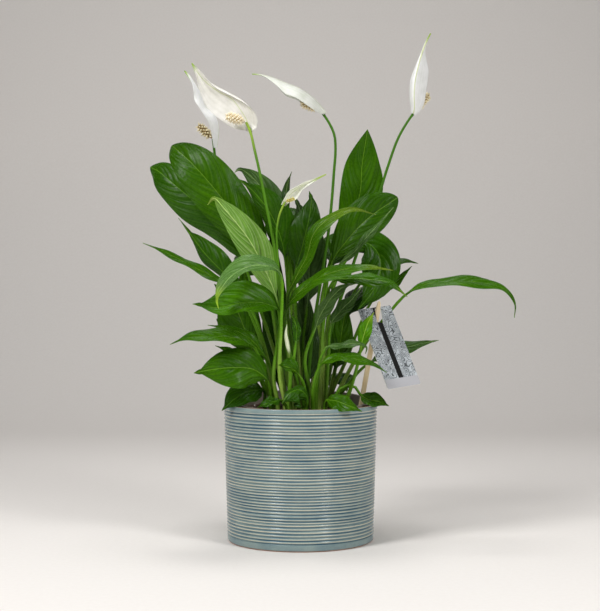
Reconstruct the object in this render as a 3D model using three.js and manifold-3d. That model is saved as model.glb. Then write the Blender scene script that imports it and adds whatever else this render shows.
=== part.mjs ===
// A potted peace lily: a glazed pot with turned ribs, a plastic nursery pot tilted inside it, soil,
// long-stalked leaves, five blooms and a bud, and a wooden stick that carries a card tag.
// Millimetres, +Z up, origin at the centre of the pot's foot, front towards -Y.
import * as THREE from 'three';
import { mergeVertices } from 'three/addons/utils/BufferGeometryUtils.js';
import Module from 'manifold-3d';

const wasm = await Module();
wasm.setup();

// ---- driving dimensions -------------------------------------------------------------------------
const POT = {
  height: 125, rimRadius: 70, footRadius: 66.5, wall: 4, floor: 6, sides: 18,
  ribs: 42, ribDepth: 0.8, groove: 0.3, crest: 0.75, rimBand: 3.5, footBand: 6, edge: 2.5, lip: 1,
};
const NURSERY = {
  height: 118, rimRadius: 64.2, wallRadius: 62.2, baseRadius: 49, wall: 1.3, lip: 5, sides: 18,
  tilt: THREE.MathUtils.degToRad(4.6), rimMiddle: 128.6, lean: 1.2,
};
const SOIL = { top: 118, clearance: 0.4, lump: 1.3, rings: 3, sides: 18, seed: 7 };
const ROOT_DEPTH = 11; // how far a stalk stands in the soil
const FOOT_RISES = [0, 14, 20]; // a stalk's foot is straight up to here, and leans after it
const FIT = 0.3; // clearance between pieces that touch
const SAME_PLACE = 1e-4; // points this close are one
const CURVE_SAMPLES = 40; // for each stretch between two points of a path
const HOLE_SIDES = 5; // the flats of a hole clear what stands in it by the fit
const BLADE = {
  thickness: 0.9, steps: 8, tail: 0.07, drip: 0.13, opening: 0.14, arch: 0.07, fullness: 0.85,
  peak: 0.42, wave: 1.2, waves: 2.5, shift: 2, roll: [[10, 10], [10, 10]],
};
const STALK = {
  stalkSteps: 2, foot: 2, neck: 1.2, sheath: 1.6, taper: 0.75, rib: 0.8, wing: 0.9,
};
const STEM = { foot: 1.9, neck: 1.25, crown: 0.3 };
const SPATHE = { thickness: 0.9, steps: 9, arch: 0.16 };
const SPADIX = { around: 10, along: 9, dip: 0.44, foot: 0.8, bluntness: 3.2 };
const TAG = {
  corners: [[53, 212, -24], [83, 216, -6.5], [82, 138.5, -52]], thickness: 0.8, corner: 1,
  slotWidth: 6.4, slotLength: 14, slotAt: [1.6, -8.6],
};
const STICK = {
  width: 4.8, depth: 2.6, foot: [53, 0], top: [73, 220, -17.5], sides: 12, point: 9,
  shoulder: { share: 0.55, below: 1.5 },
};

// The plant is laid out as it is seen from in front, by an eye this far off and this high.
const EYE = { distance: 1200, height: 216 };

/** A point given as [across, up, depth]: where it is seen, in millimetres at the pot's axis, and
 *  how far behind that axis it lies. */
function seen([across, up, depth]) {
  const scale = 1 + depth / EYE.distance;
  return new THREE.Vector3(across * scale, depth, EYE.height + (up - EYE.height) * scale);
}

/** Repeatable random numbers from 0 to 1. */
function seeded(seed) {
  const [factor, modulus] = [16807, 2 ** 31 - 1];
  let state = seed;
  return () => {
    state = (state * factor) % modulus;
    return state / modulus;
  };
}

// ---- solids -------------------------------------------------------------------------------------
/** A geometry whose faces share their corners. */
function merged(geometry) {
  const bare = new THREE.BufferGeometry();
  bare.setAttribute('position', geometry.getAttribute('position'));
  bare.setIndex(geometry.index);
  return mergeVertices(bare, SAME_PLACE);
}

/** A three.js geometry as a solid that can be cut and joined. */
function toSolid(geometry) {
  const { index, attributes } = merged(geometry);
  const mesh = new wasm.Mesh({
    numProp: 3,
    vertProperties: new Float32Array(attributes.position.array),
    triVerts: new Uint32Array(index.array),
  });
  return new wasm.Manifold(mesh);
}

/** A solid back as a three.js geometry. */
function toGeometry(solid) {
  const mesh = solid.getMesh();
  const geometry = new THREE.BufferGeometry();
  geometry.setAttribute('position', new THREE.BufferAttribute(mesh.vertProperties, 3));
  geometry.setIndex(new THREE.BufferAttribute(mesh.triVerts, 1));
  return geometry;
}

/** A body turned about the vertical axis from [radius, height] pairs that start and end on it. */
function turned(profile, sides) {
  const points = profile.map(([radius, height]) => new THREE.Vector2(radius, height));
  return new THREE.LatheGeometry(points, sides).rotateX(Math.PI / 2);
}

/** A closed skin through rings of eight points, flat at the first ring, pointed at the tip.
 *  Both faces of a blade are split along mirrored diagonals, so a wave never makes them cross. */
function skin(rings, tip) {
  const count = 8;
  const positions = [];
  const index = [];
  rings.forEach((ring) => ring.forEach((point) => positions.push(point.x, point.y, point.z)));
  for (let i = 0; i + 1 < rings.length; i += 1) {
    for (let j = 0; j < count; j += 1) {
      const a = i * count + j;
      const b = i * count + ((j + 1) % count);
      const c = a + count;
      const d = b + count;
      index.push(...(j < count / 2 ? [a, b, c, b, d, c] : [a, b, d, a, d, c]));
    }
  }
  const middle = rings[0].reduce((sum, point) => sum.add(point), new THREE.Vector3());
  middle.divideScalar(count);
  const middleIndex = positions.length / 3;
  positions.push(middle.x, middle.y, middle.z, tip.x, tip.y, tip.z);
  const last = (rings.length - 1) * count;
  for (let j = 0; j < count; j += 1) {
    const next = (j + 1) % count;
    index.push(middleIndex, next, j, last + j, last + next, middleIndex + 1);
  }
  const geometry = new THREE.BufferGeometry();
  geometry.setAttribute('position', new THREE.Float32BufferAttribute(positions, 3));
  geometry.setIndex(index);
  return geometry;
}

/** One ring of eight points: a round stalk where `open` is 0, a folded blade where it is 1.
 *  `left` and `right` reach from the middle to the two margins; `face` is 1 where the upper side
 *  looks to the front and -1 where the underside does. */
function section({ centre, along, left, right, radius, open, thickness, face, arch }) {
  const across = left.clone().sub(right).normalize();
  const front = along.clone().cross(across).normalize();
  const half = thickness / 2;
  const rib = Math.max(half, radius * STALK.rib);
  const ring = [];
  const addPoint = (angle, blade) => {
    const round = centre.clone()
      .addScaledVector(across, radius * Math.cos(angle))
      .addScaledVector(front, radius * Math.sin(angle));
    ring.push(round.lerp(blade, open));
  };
  const middleOf = (side, sign, offset) => {
    const normal = along.clone().cross(side).normalize().multiplyScalar(sign);
    return centre.clone().addScaledVector(side, 0.5)
      .addScaledVector(normal, offset + face * arch * side.length());
  };
  const ribAt = (sign) => {
    const reach = sign === face ? half : rib;
    return centre.clone().addScaledVector(front, sign * reach);
  };
  const eighth = Math.PI / 4;
  addPoint(0, centre.clone().add(left));
  addPoint(eighth, middleOf(left, 1, half));
  addPoint(2 * eighth, ribAt(1));
  addPoint(3 * eighth, middleOf(right, -1, half));
  addPoint(4 * eighth, centre.clone().add(right));
  addPoint(5 * eighth, middleOf(right, -1, -half));
  addPoint(6 * eighth, ribAt(-1));
  addPoint(7 * eighth, middleOf(left, 1, -half));
  return ring;
}

// ---- leaves -------------------------------------------------------------------------------------
/** Share of a blade's full half-width at `t` along it: wedge, broad middle, and a drawn-out tip
 *  over the share `tail` of the blade. */
function bladeShare(t, { peak, tail, fullness }) {
  const end = 1 - tail;
  const power = Math.log(0.5) / Math.log(peak / end);
  const body = Math.sin(Math.PI * Math.min(t / end, 1) ** power);
  const drip = tail > 0 && t > peak ? BLADE.drip * Math.min(1, (1 - t) / tail) : 0;
  return Math.max(Math.max(body, 0) ** fullness, drip);
}

const mix = (pair, t) => THREE.MathUtils.lerp(pair[0], pair[1], t);

/** The sideways and away-from-the-front directions at a point of a leaf's path. */
function crossAxes(along, hint) {
  const side = hint ? new THREE.Vector3(...hint) : along.clone().cross(new THREE.Vector3(0, 1, 0));
  side.addScaledVector(along, -side.dot(along)).normalize();
  return { side, away: side.clone().cross(along).normalize() };
}

/** The straight foot of a stalk in its hole, and the seen points after it. */
function stalkPath(root, points) {
  const [x, y] = root;
  const foot = SOIL.top + y * Math.tan(NURSERY.tilt) - ROOT_DEPTH;
  const feet = FOOT_RISES.map((rise) => new THREE.Vector3(x, y, foot + rise));
  return new THREE.CatmullRomCurve3([...feet, ...points.map(seen)]);
}

/** Share of a curve's length at its control point number `number`. */
function shareAt(curve, number) {
  const samples = CURVE_SAMPLES * (curve.points.length - 1);
  const lengths = curve.getLengths(samples);
  return lengths[CURVE_SAMPLES * number] / lengths[samples];
}

/** A leaf: a stalk from its hole, opening into a thin blade folded along its midrib.
 *  `half` is the full half-width to the left and right of the rib, as it travels to the tip;
 *  `roll` turns each half away from the front (plus) or towards it (minus), at base and tip. */
function leafGeometry(leaf) {
  const { root, stalk, rib, half, side: hint, steps, stalkSteps } = { ...BLADE, ...STALK, ...leaf };
  const { roll, wave, waves, phase = 0, face = 1, thick = 1 } = { ...BLADE, ...leaf };
  const outline = { ...BLADE, ...leaf };
  const curve = stalkPath(root, [...stalk, ...rib]);
  const start = shareAt(curve, FOOT_RISES.length + stalk.length);
  const rings = [];
  const addRing = (share, t) => {
    const along = curve.getTangentAt(share);
    const { side, away } = crossAxes(along, hint);
    const grown = Math.min(share / start, 1) ** STALK.sheath;
    const stem = THREE.MathUtils.lerp(STALK.foot, STALK.neck, grown) * thick;
    const radius = stem * (1 - STALK.taper * t);
    const reach = (number, sign) => {
      const turn = THREE.MathUtils.degToRad(mix(roll[number], t));
      const direction = side.clone().multiplyScalar(sign * Math.cos(turn));
      direction.addScaledVector(away, Math.sin(turn));
      const length = Math.max(half[number] * bladeShare(t, outline), radius * STALK.wing);
      const normal = along.clone().cross(direction).multiplyScalar(sign);
      const ripple = Math.sin(2 * Math.PI * waves * t + phase + number * BLADE.shift);
      const lift = wave * ripple * bladeShare(t, outline);
      return direction.multiplyScalar(length).addScaledVector(normal, t > 0 ? lift : 0);
    };
    rings.push(section({
      centre: curve.getPointAt(share), along, left: reach(0, 1), right: reach(1, -1), radius,
      open: THREE.MathUtils.smoothstep(t, 0, BLADE.opening), thickness: BLADE.thickness, face,
      arch: BLADE.arch,
    }));
  };
  const ground = shareAt(curve, 1);
  addRing(0, 0);
  for (let i = 0; i < stalkSteps; i += 1) addRing(mix([ground, start], i / stalkSteps), 0);
  for (let i = 0; i < steps; i += 1) addRing(start + ((1 - start) * i) / steps, i / steps);
  return skin(rings, curve.getPointAt(1));
}

const GREEN = { deep: 0x1f4a12, mid: 0x35651a, bright: 0x6c9a22, grey: 0x5b7358 };

// Each leaf: its foot on the soil [x, y], the seen points of its stalk, and of its midrib from the
// blade's base to the tip. Leaves of one node have grown from one foot.
const LEAVES = [
  // tall leaves on the left
  { node: 'leaf_left_far', root: [-15, 13], stalk: [[-22, 165, 14], [-40, 220, 12]],
    rib: [[-51, 252, 10], [-61, 276, 9], [-79, 297, 9], [-99, 313, 11], [-118, 329, 17],
      [-131, 340, 27], [-139, 344, 39]], half: [21, 20],
    roll: [[20, 20], [10, 10]], colour: 'deep', peak: 0.56, tail: 0, fullness: 0.6, steps: 10 },
  { node: 'leaf_left_upper', root: [-14, 2], stalk: [[-20, 170, 2], [-27, 218, -2]],
    rib: [[-33, 250, -5], [-46, 280, -7], [-63, 303, -8], [-83, 328, -7], [-101, 348, 0],
      [-113, 359, 10], [-119, 364, 21]], half: [23, 24], roll: [[-5, -5], [15, 5]],
    colour: 'mid', phase: 1, peak: 0.54, tail: 0, fullness: 0.62, steps: 10 },
  { node: 'leaf_left_striped', root: [-14, -11], stalk: [[-18, 160, -16], [-19, 200, -22]],
    rib: [[-22, 222, -26], [-34, 252, -31], [-47, 276, -34], [-59, 292, -34], [-71, 306, -31],
      [-80, 315, -24], [-86, 309, -18]], half: [14, 15], roll: [[10, 10], [10, 10]], face: -1,
    colour: 'bright', steps: 10 },
  { node: 'leaf_left_pointed', root: [-21, -5], stalk: [[-29, 160, -9], [-42, 205, -18]],
    rib: [[-55, 228, -24], [-68, 243, -27], [-80, 255, -29], [-90, 266, -30], [-101, 281, -29],
      [-113, 297, -26]], half: [9, 14], roll: [[45, 45], [10, 10]], colour: 'deep', tail: 0.18 },
  { node: 'leaf_left_grey', root: [-5, 17], stalk: [[-7, 180, 20], [-10, 240, 22]],
    rib: [[-14, 268, 22], [-21, 295, 22], [-31, 317, 22], [-44, 334, 20], [-56, 342, 16],
      [-61, 339, 12]], half: [14, 15], roll: [[-10, -10], [10, 10]], colour: 'grey', phase: 2 },
  { node: 'leaf_left_inner', root: [-8, 4], stalk: [[-11, 180, -2], [-12, 235, -9]],
    rib: [[-14, 258, -12], [-19, 281, -15], [-29, 303, -17], [-43, 321, -17], [-57, 333, -14]],
    half: [11, 18], roll: [[35, 35], [-5, -5]], colour: 'deep', phase: 3 },
  { node: 'leaf_left_narrow', root: [-23, -18], stalk: [[-31, 165, -24], [-45, 205, -32]],
    rib: [[-60, 231, -38], [-80, 242, -41], [-103, 254, -43], [-125, 265, -43], [-146, 274, -41]],
    half: [7, 7], roll: [[-60, -60], [55, 55]], colour: 'mid' },
  { node: 'leaf_left_level', root: [-20, -32], stalk: [[-25, 150, -40], [-20, 190, -47]],
    rib: [[-19, 210, -52], [-33, 218, -58], [-53, 218.5, -66], [-78, 214, -72], [-100, 217.5, -76]],
    half: [16, 21], roll: [[-58, -55], [20, 25]], colour: 'mid', peak: 0.45 },
  { node: 'leaf_left_behind', root: [-26, 4], stalk: [[-36, 148, -4]],
    rib: [[-44, 172, -13], [-51, 192, -16], [-59, 212, -17], [-68, 226, -18], [-80, 236, -16]],
    half: [22, 16], roll: [[5, 5], [15, 15]], colour: 'mid' },
  { node: 'leaf_left_low', root: [-27, -20], stalk: [[-31, 145, -28], [-37, 163, -40]],
    rib: [[-42, 176, -48], [-57, 185, -55], [-80, 187.5, -62], [-102, 186.5, -66],
      [-121, 180, -68]], half: [13, 13], roll: [[-68, -68], [55, 55]], colour: 'mid' },
  { node: 'leaf_left_low', root: [-26.2, -20.6], stalk: [[-25, 145, -30]],
    rib: [[-31, 165, -36], [-43, 182, -40], [-56, 191, -44], [-70, 195, -46], [-86, 198, -48]],
    half: [7, 7], roll: [[-50, -50], [50, 50]], colour: 'bright', steps: 7, stalkSteps: 3 },
  { node: 'leaf_left_glossy', root: [-27, -29], stalk: [[-28, 135, -36]],
    rib: [[-30, 146, -42], [-44, 157, -50], [-62, 158.5, -56], [-80, 157, -60], [-99, 153.5, -62]],
    half: [19, 18], roll: [[-15, -15], [15, 15]], colour: 'mid', peak: 0.46 },
  { node: 'leaf_left_behind', root: [-26, 3], stalk: [[-34, 140, -4]],
    rib: [[-42, 157, -11], [-58, 170, -17], [-79, 179, -20]], half: [7, 7],
    roll: [[-50, -50], [50, 50]], colour: 'mid', steps: 6, stalkSteps: 2 },
  { node: 'leaf_left_behind', root: [-25.2, 4.6], stalk: [[-30, 145, 9]],
    rib: [[-34, 160, 13], [-42, 185, 17], [-48, 212, 19], [-51, 238, 20], [-53, 262, 20]],
    half: [14, 9], roll: [[0, 0], [0, 0]], colour: 'deep', steps: 6, stalkSteps: 2 },
  { node: 'leaf_rim_left', root: [-33, -12], stalk: [],
    rib: [[-34, 137, -22], [-46, 137, -30], [-60, 130, -36], [-73, 118.5, -39]],
    half: [13, 15], roll: [[-45, -35], [30, 35]], colour: 'deep', stalkSteps: 2 },
  // the front of the crown
  { node: 'leaf_front_arch', root: [-13, -34],
    stalk: [[-19, 150, -42], [-18, 200, -52], [-17, 229, -60]],
    rib: [[-18, 243, -64], [-24, 250.5, -68], [-38, 253.5, -73], [-51, 251, -79],
      [-63, 244, -86], [-72, 233.5, -90], [-77, 222, -93], [-76, 213, -93]], half: [9, 14],
    roll: [[-60, -45], [45, 40]], colour: 'grey', peak: 0.4, steps: 12, stalkSteps: 3 },
  { node: 'leaf_front_small', root: [-11.6, -42.6], stalk: [],
    rib: [[-18, 128, -46], [-24, 127.5, -50], [-32, 125, -54], [-40, 121.5, -57]], half: [6, 6],
    roll: [[-60, -60], [40, 40]], colour: 'deep', steps: 6, stalkSteps: 2 },
  { node: 'leaf_front_dome', root: [2, -45], stalk: [],
    rib: [[6, 125, -49], [6, 132, -51], [-1, 138, -54], [-10, 135, -57], [-17.5, 125, -59]],
    half: [16, 8], roll: [[-8, -8], [70, 70]], colour: 'deep', peak: 0.5, steps: 7,
    stalkSteps: 2 },
  { node: 'leaf_front_fold', root: [5, -36], stalk: [[3, 143, -44]],
    rib: [[-1, 151, -50], [-7, 157, -55], [-14, 159.5, -59], [-21, 161, -61]], half: [4, 9],
    roll: [[-30, -30], [10, 20]], colour: 'mid', peak: 0.55, steps: 7, stalkSteps: 3 },
  { node: 'leaf_front_small', root: [-11, -42], stalk: [[-9, 150, -46], [-6, 168, -50]],
    rib: [[-4.5, 180, -52], [-3.5, 194, -53], [-6, 203, -54], [-10, 209, -54]], half: [4, 4],
    colour: 'bright', steps: 6, stalkSteps: 3 },
  { node: 'leaf_centre_long', root: [-5, -31], stalk: [[-13, 150, -38], [-16, 190, -45]],
    rib: [[-13, 211, -50], [-4, 226, -56], [14, 240, -63], [38, 249, -68], [62, 251.5, -72],
      [86, 248.5, -74]], half: [14, 14], roll: [[68, 68], [-62, -62]], colour: 'bright' },
  { node: 'leaf_centre_lime', root: [1, -19], stalk: [[-3, 150, -21], [-10, 195, -31]],
    rib: [[-12, 222, -40], [-4, 243, -44], [6, 262, -48], [12, 282, -51], [27, 297, -53],
      [48, 305, -52], [70, 300, -49]], half: [8, 12], roll: [[60, 50], [-45, -60]],
    colour: 'bright', peak: 0.5, steps: 11 },
  { node: 'leaf_centre_upright', root: [-1, -10], stalk: [[-2, 170, -14], [-5, 225, -19]],
    rib: [[-4, 250, -21], [1, 268, -22], [6, 288, -23], [9, 303, -22], [10, 314, -20],
      [8, 322, -18]], half: [15, 14], roll: [[5, 5], [-5, -5]], colour: 'deep' },
  { node: 'leaf_centre_back', root: [0, 10], stalk: [[2, 180, 12]],
    rib: [[6, 215, 13], [8, 243, 14], [7, 270, 15], [1, 300, 16], [-6, 318, 16]],
    half: [15, 17], roll: [[0, 0], [0, 0]], colour: 'grey', peak: 0.46, steps: 8 },
  { node: 'leaf_centre_back', root: [0.8, 9.4], stalk: [[-3, 185, 8], [-9, 250, 4]],
    rib: [[-13, 290, 1], [-14, 312, 0], [-12, 328, 0], [-8, 340, 1]], half: [5, 4],
    colour: 'bright', steps: 6, stalkSteps: 3 },
  { node: 'leaf_centre_back', root: [0.4, 10.8], stalk: [],
    rib: [[3, 140, 12], [4, 165, 15], [4, 200, 17], [5, 238, 18]], half: [19, 14],
    roll: [[0, 0], [0, 0]], colour: 'deep', peak: 0.36, steps: 6, stalkSteps: 2 },
  // the right side
  { node: 'leaf_right_tall', root: [10, 16], stalk: [[14, 170, 18], [21, 230, 22]],
    rib: [[32, 270, 24], [46, 294, 24], [55, 320, 22], [57, 346, 20], [60, 366, 16],
      [62, 379, 11]], half: [19, 21], roll: [[0, -5], [5, -5]], colour: 'mid', peak: 0.52,
    tail: 0, fullness: 0.95, steps: 10 },
  { node: 'leaf_right_round', root: [15, 3], stalk: [[18, 165, 1], [23, 225, -1]],
    rib: [[29, 256, -3], [42, 275, -7], [55, 290, -9], [68, 301, -9], [81, 310, -9],
      [90, 316, -12]], half: [20, 17], roll: [[0, 0], [0, 0]],
    colour: 'mid', peak: 0.58, phase: 2, tail: 0, fullness: 0.6, steps: 10 },
  { node: 'leaf_right_hanging', root: [21, 13], stalk: [[24, 170, 18], [30, 230, 24]],
    rib: [[45, 262, 30], [60, 274, 29], [72, 264, 24], [74, 247, 19], [66, 228, 14],
      [53, 212, 9]], half: [19, 19], roll: [[10, 10], [10, 10]], colour: 'deep', peak: 0.46,
    steps: 10 },
  { node: 'leaf_right_long', root: [31, -2], stalk: [[42, 150, 2], [62, 184, 1], [86, 214, -4]],
    rib: [[95, 224, -7], [112, 234.5, -9], [136, 238, -10], [165, 237.5, -10], [187, 232, -10],
      [198, 218, -10], [198, 204.5, -10]], half: [14, 14], roll: [[68, 68], [-68, -68]],
    colour: 'mid', steps: 10, peak: 0.5 },
  { node: 'leaf_right_low', root: [32, 8], stalk: [[42, 140, 10], [54, 155, 11]],
    rib: [[64, 163, 11], [84, 173.5, 10], [105, 179, 9], [128, 184, 7]], half: [9, 9],
    roll: [[50, 50], [-50, -50]], colour: 'grey', steps: 7, stalkSteps: 3 },
  { node: 'leaf_right_arrow', root: [17, -17], stalk: [[19, 160, -22], [22, 205, -32]],
    rib: [[30, 238, -42], [48, 241, -47], [65, 240, -51], [82, 237, -54], [99, 224, -56]],
    half: [10, 10], roll: [[58, 58], [-52, -52]], colour: 'mid', phase: 1 },
  { node: 'leaf_right_rising', root: [22, -10], stalk: [[22, 165, -12], [27, 215, -19]],
    rib: [[36, 253, -25], [50, 266, -27], [62, 280, -27], [75, 294, -26], [86, 307, -24]],
    half: [5, 5], roll: [[50, 50], [-50, -50]], colour: 'grey', steps: 7 },
  { node: 'leaf_right_grey', root: [13, -29], stalk: [[4, 165, -34]],
    rib: [[13, 194, -38], [21, 212, -40], [31, 226, -41], [41, 234, -41], [51, 236, -40]],
    half: [7, 8], roll: [[-40, -40], [30, 30]], colour: 'grey', steps: 7, stalkSteps: 3 },
  { node: 'leaf_right_rising', root: [22.8, -10.4], stalk: [[26, 170, -16]],
    rib: [[28, 198, -20], [38, 212, -22], [48, 222, -22], [56, 232, -21]], half: [7, 7],
    roll: [[30, 30], [-30, -30]], colour: 'deep', steps: 6, stalkSteps: 3 },
  { node: 'leaf_right_arching', root: [11, -39], stalk: [[12, 140, -46]],
    rib: [[18, 160, -54], [31, 168, -58], [48, 167, -62], [65, 162.5, -63], [80, 154, -62]],
    half: [11, 11], roll: [[66, 66], [-68, -68]], colour: 'mid', stalkSteps: 3 },
  { node: 'leaf_right_grey', root: [13.8, -29.5], stalk: [[16, 150, -38], [19, 168, -45]],
    rib: [[24, 177, -48], [38, 179, -52], [52, 181, -55], [61, 177, -57], [60, 171, -57]],
    half: [6, 6], roll: [[60, 60], [-60, -60]], colour: 'bright', steps: 7, stalkSteps: 3 },
  { node: 'leaf_right_tag', root: [40, -25], stalk: [[46, 138, -32], [53, 162, -41]],
    rib: [[56, 178, -45], [59, 190, -48], [62.5, 200, -49], [68, 210, -49]], half: [6, 6],
    roll: [[5, 5], [-5, -5]], colour: 'bright', steps: 7, stalkSteps: 3 },
  { node: 'leaf_rim_right_front', root: [22, -38], stalk: [],
    rib: [[24, 128, -46], [32, 128, -54], [44, 123.5, -61], [57, 118, -64]], half: [8, 9],
    roll: [[30, 30], [-35, -35]], colour: 'mid', steps: 7, stalkSteps: 2 },
  { node: 'leaf_rim_right', root: [29, -24], stalk: [[36, 138, -27], [43, 142, -28],
    [50, 141, -28]], rib: [[55, 134, -28], [62, 129.5, -29], [72, 127, -31], [82, 123, -32]],
    half: [8, 7], roll: [[20, 20], [-40, -40]], colour: 'mid', steps: 7 },
  // the back of the crown
  { node: 'leaf_back_tips', root: [27, 20], stalk: [[36, 175, 34], [44, 215, 44]],
    rib: [[55, 236, 48], [76, 251, 50], [95, 257, 48], [109, 255, 46]], half: [14, 14],
    roll: [[65, 65], [-65, -65]], colour: 'mid', steps: 8, stalkSteps: 3 },
  { node: 'leaf_back_tips', root: [27.5, 19.5], stalk: [[42, 165, 30], [56, 200, 32]],
    rib: [[66, 220, 33], [82, 234, 34], [94, 243, 34], [103, 252.5, 32]], half: [11, 11],
    roll: [[65, 65], [-65, -65]], colour: 'deep', steps: 7, stalkSteps: 3 },
  { node: 'leaf_back_tips', root: [26.4, 20.4], stalk: [[29, 142, 24]],
    rib: [[32, 156, 26], [36, 175, 28], [39, 196, 28], [44, 218, 26]], half: [13, 12],
    roll: [[0, 0], [0, 0]], colour: 'deep', steps: 6, stalkSteps: 2 },
  { node: 'leaf_back_left', root: [-14, 24], stalk: [[-20, 180, 40], [-28, 222, 54]],
    rib: [[-34, 242, 64], [-44, 262, 82], [-52, 267, 104], [-58, 256, 128]], half: [21, 21],
    side: [-0.8, 0.1, -0.5], colour: 'mid', steps: 6 },
  { node: 'leaf_back_left', root: [-13.3, 24.6], stalk: [],
    rib: [[-18.5, 138, 28.5], [-20, 170, 32], [-23, 210, 36], [-25, 255, 36], [-28, 298, 31]],
    half: [14, 14], roll: [[0, 0], [0, 0]], colour: 'deep', peak: 0.3, steps: 6,
    stalkSteps: 2 },
  { node: 'leaf_back_middle', root: [-2, 26], stalk: [[-3, 190, 36], [-6, 240, 44]],
    rib: [[-8, 262, 49], [-12, 291, 60], [-15, 306, 78], [-16, 300, 100]], half: [22, 22],
    side: [-1, 0, 0], colour: 'deep', steps: 6, phase: 2 },
  { node: 'leaf_back_right', root: [11, 27], stalk: [[17, 190, 38], [24, 235, 46]],
    rib: [[29, 252, 51], [38, 274, 64], [45, 286, 84], [49, 281, 108]], half: [21, 21],
    side: [-0.9, 0.2, 0], colour: 'mid', steps: 6, phase: 1 },
  { node: 'leaf_back_right_low', root: [23, 32], stalk: [[34, 180, 44]],
    rib: [[44, 206, 54], [54, 226, 70], [61, 233, 92], [64, 228, 116]], half: [18, 18],
    side: [-0.7, 0.5, 0], colour: 'deep', steps: 6, stalkSteps: 2 },
  { node: 'leaf_back_left_low', root: [-24, 20], stalk: [[-36, 165, 34]],
    rib: [[-45, 186, 44], [-56, 201, 58], [-64, 205, 78], [-68, 196, 102]], half: [19, 19],
    side: [-0.6, -0.7, 0], colour: 'deep', steps: 6, stalkSteps: 2 },
  { node: 'leaf_back_low', root: [5, 35], stalk: [[4, 145, 46]],
    rib: [[3, 165, 56], [0, 183, 72], [-4, 187, 96], [-8, 172, 122]], half: [19, 19],
    side: [-1, 0, 0], colour: 'mid', steps: 6, stalkSteps: 2 },
  { node: 'leaf_back_low', root: [4.2, 34.4], stalk: [[-8, 150, 50]],
    rib: [[-18, 166, 58], [-30, 174, 72], [-40, 170, 92], [-48, 154, 112]], half: [16, 16],
    side: [-0.8, -0.4, 0], colour: 'bright', steps: 6, stalkSteps: 2 },
  { node: 'leaf_back_right_low', root: [23.7, 32.8], stalk: [],
    rib: [[27, 140, 50], [33, 152, 62], [39, 150, 82], [43, 136, 104]], half: [15, 15],
    side: [-0.9, 0.3, 0], colour: 'mid', steps: 7, stalkSteps: 2 },
];

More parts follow.
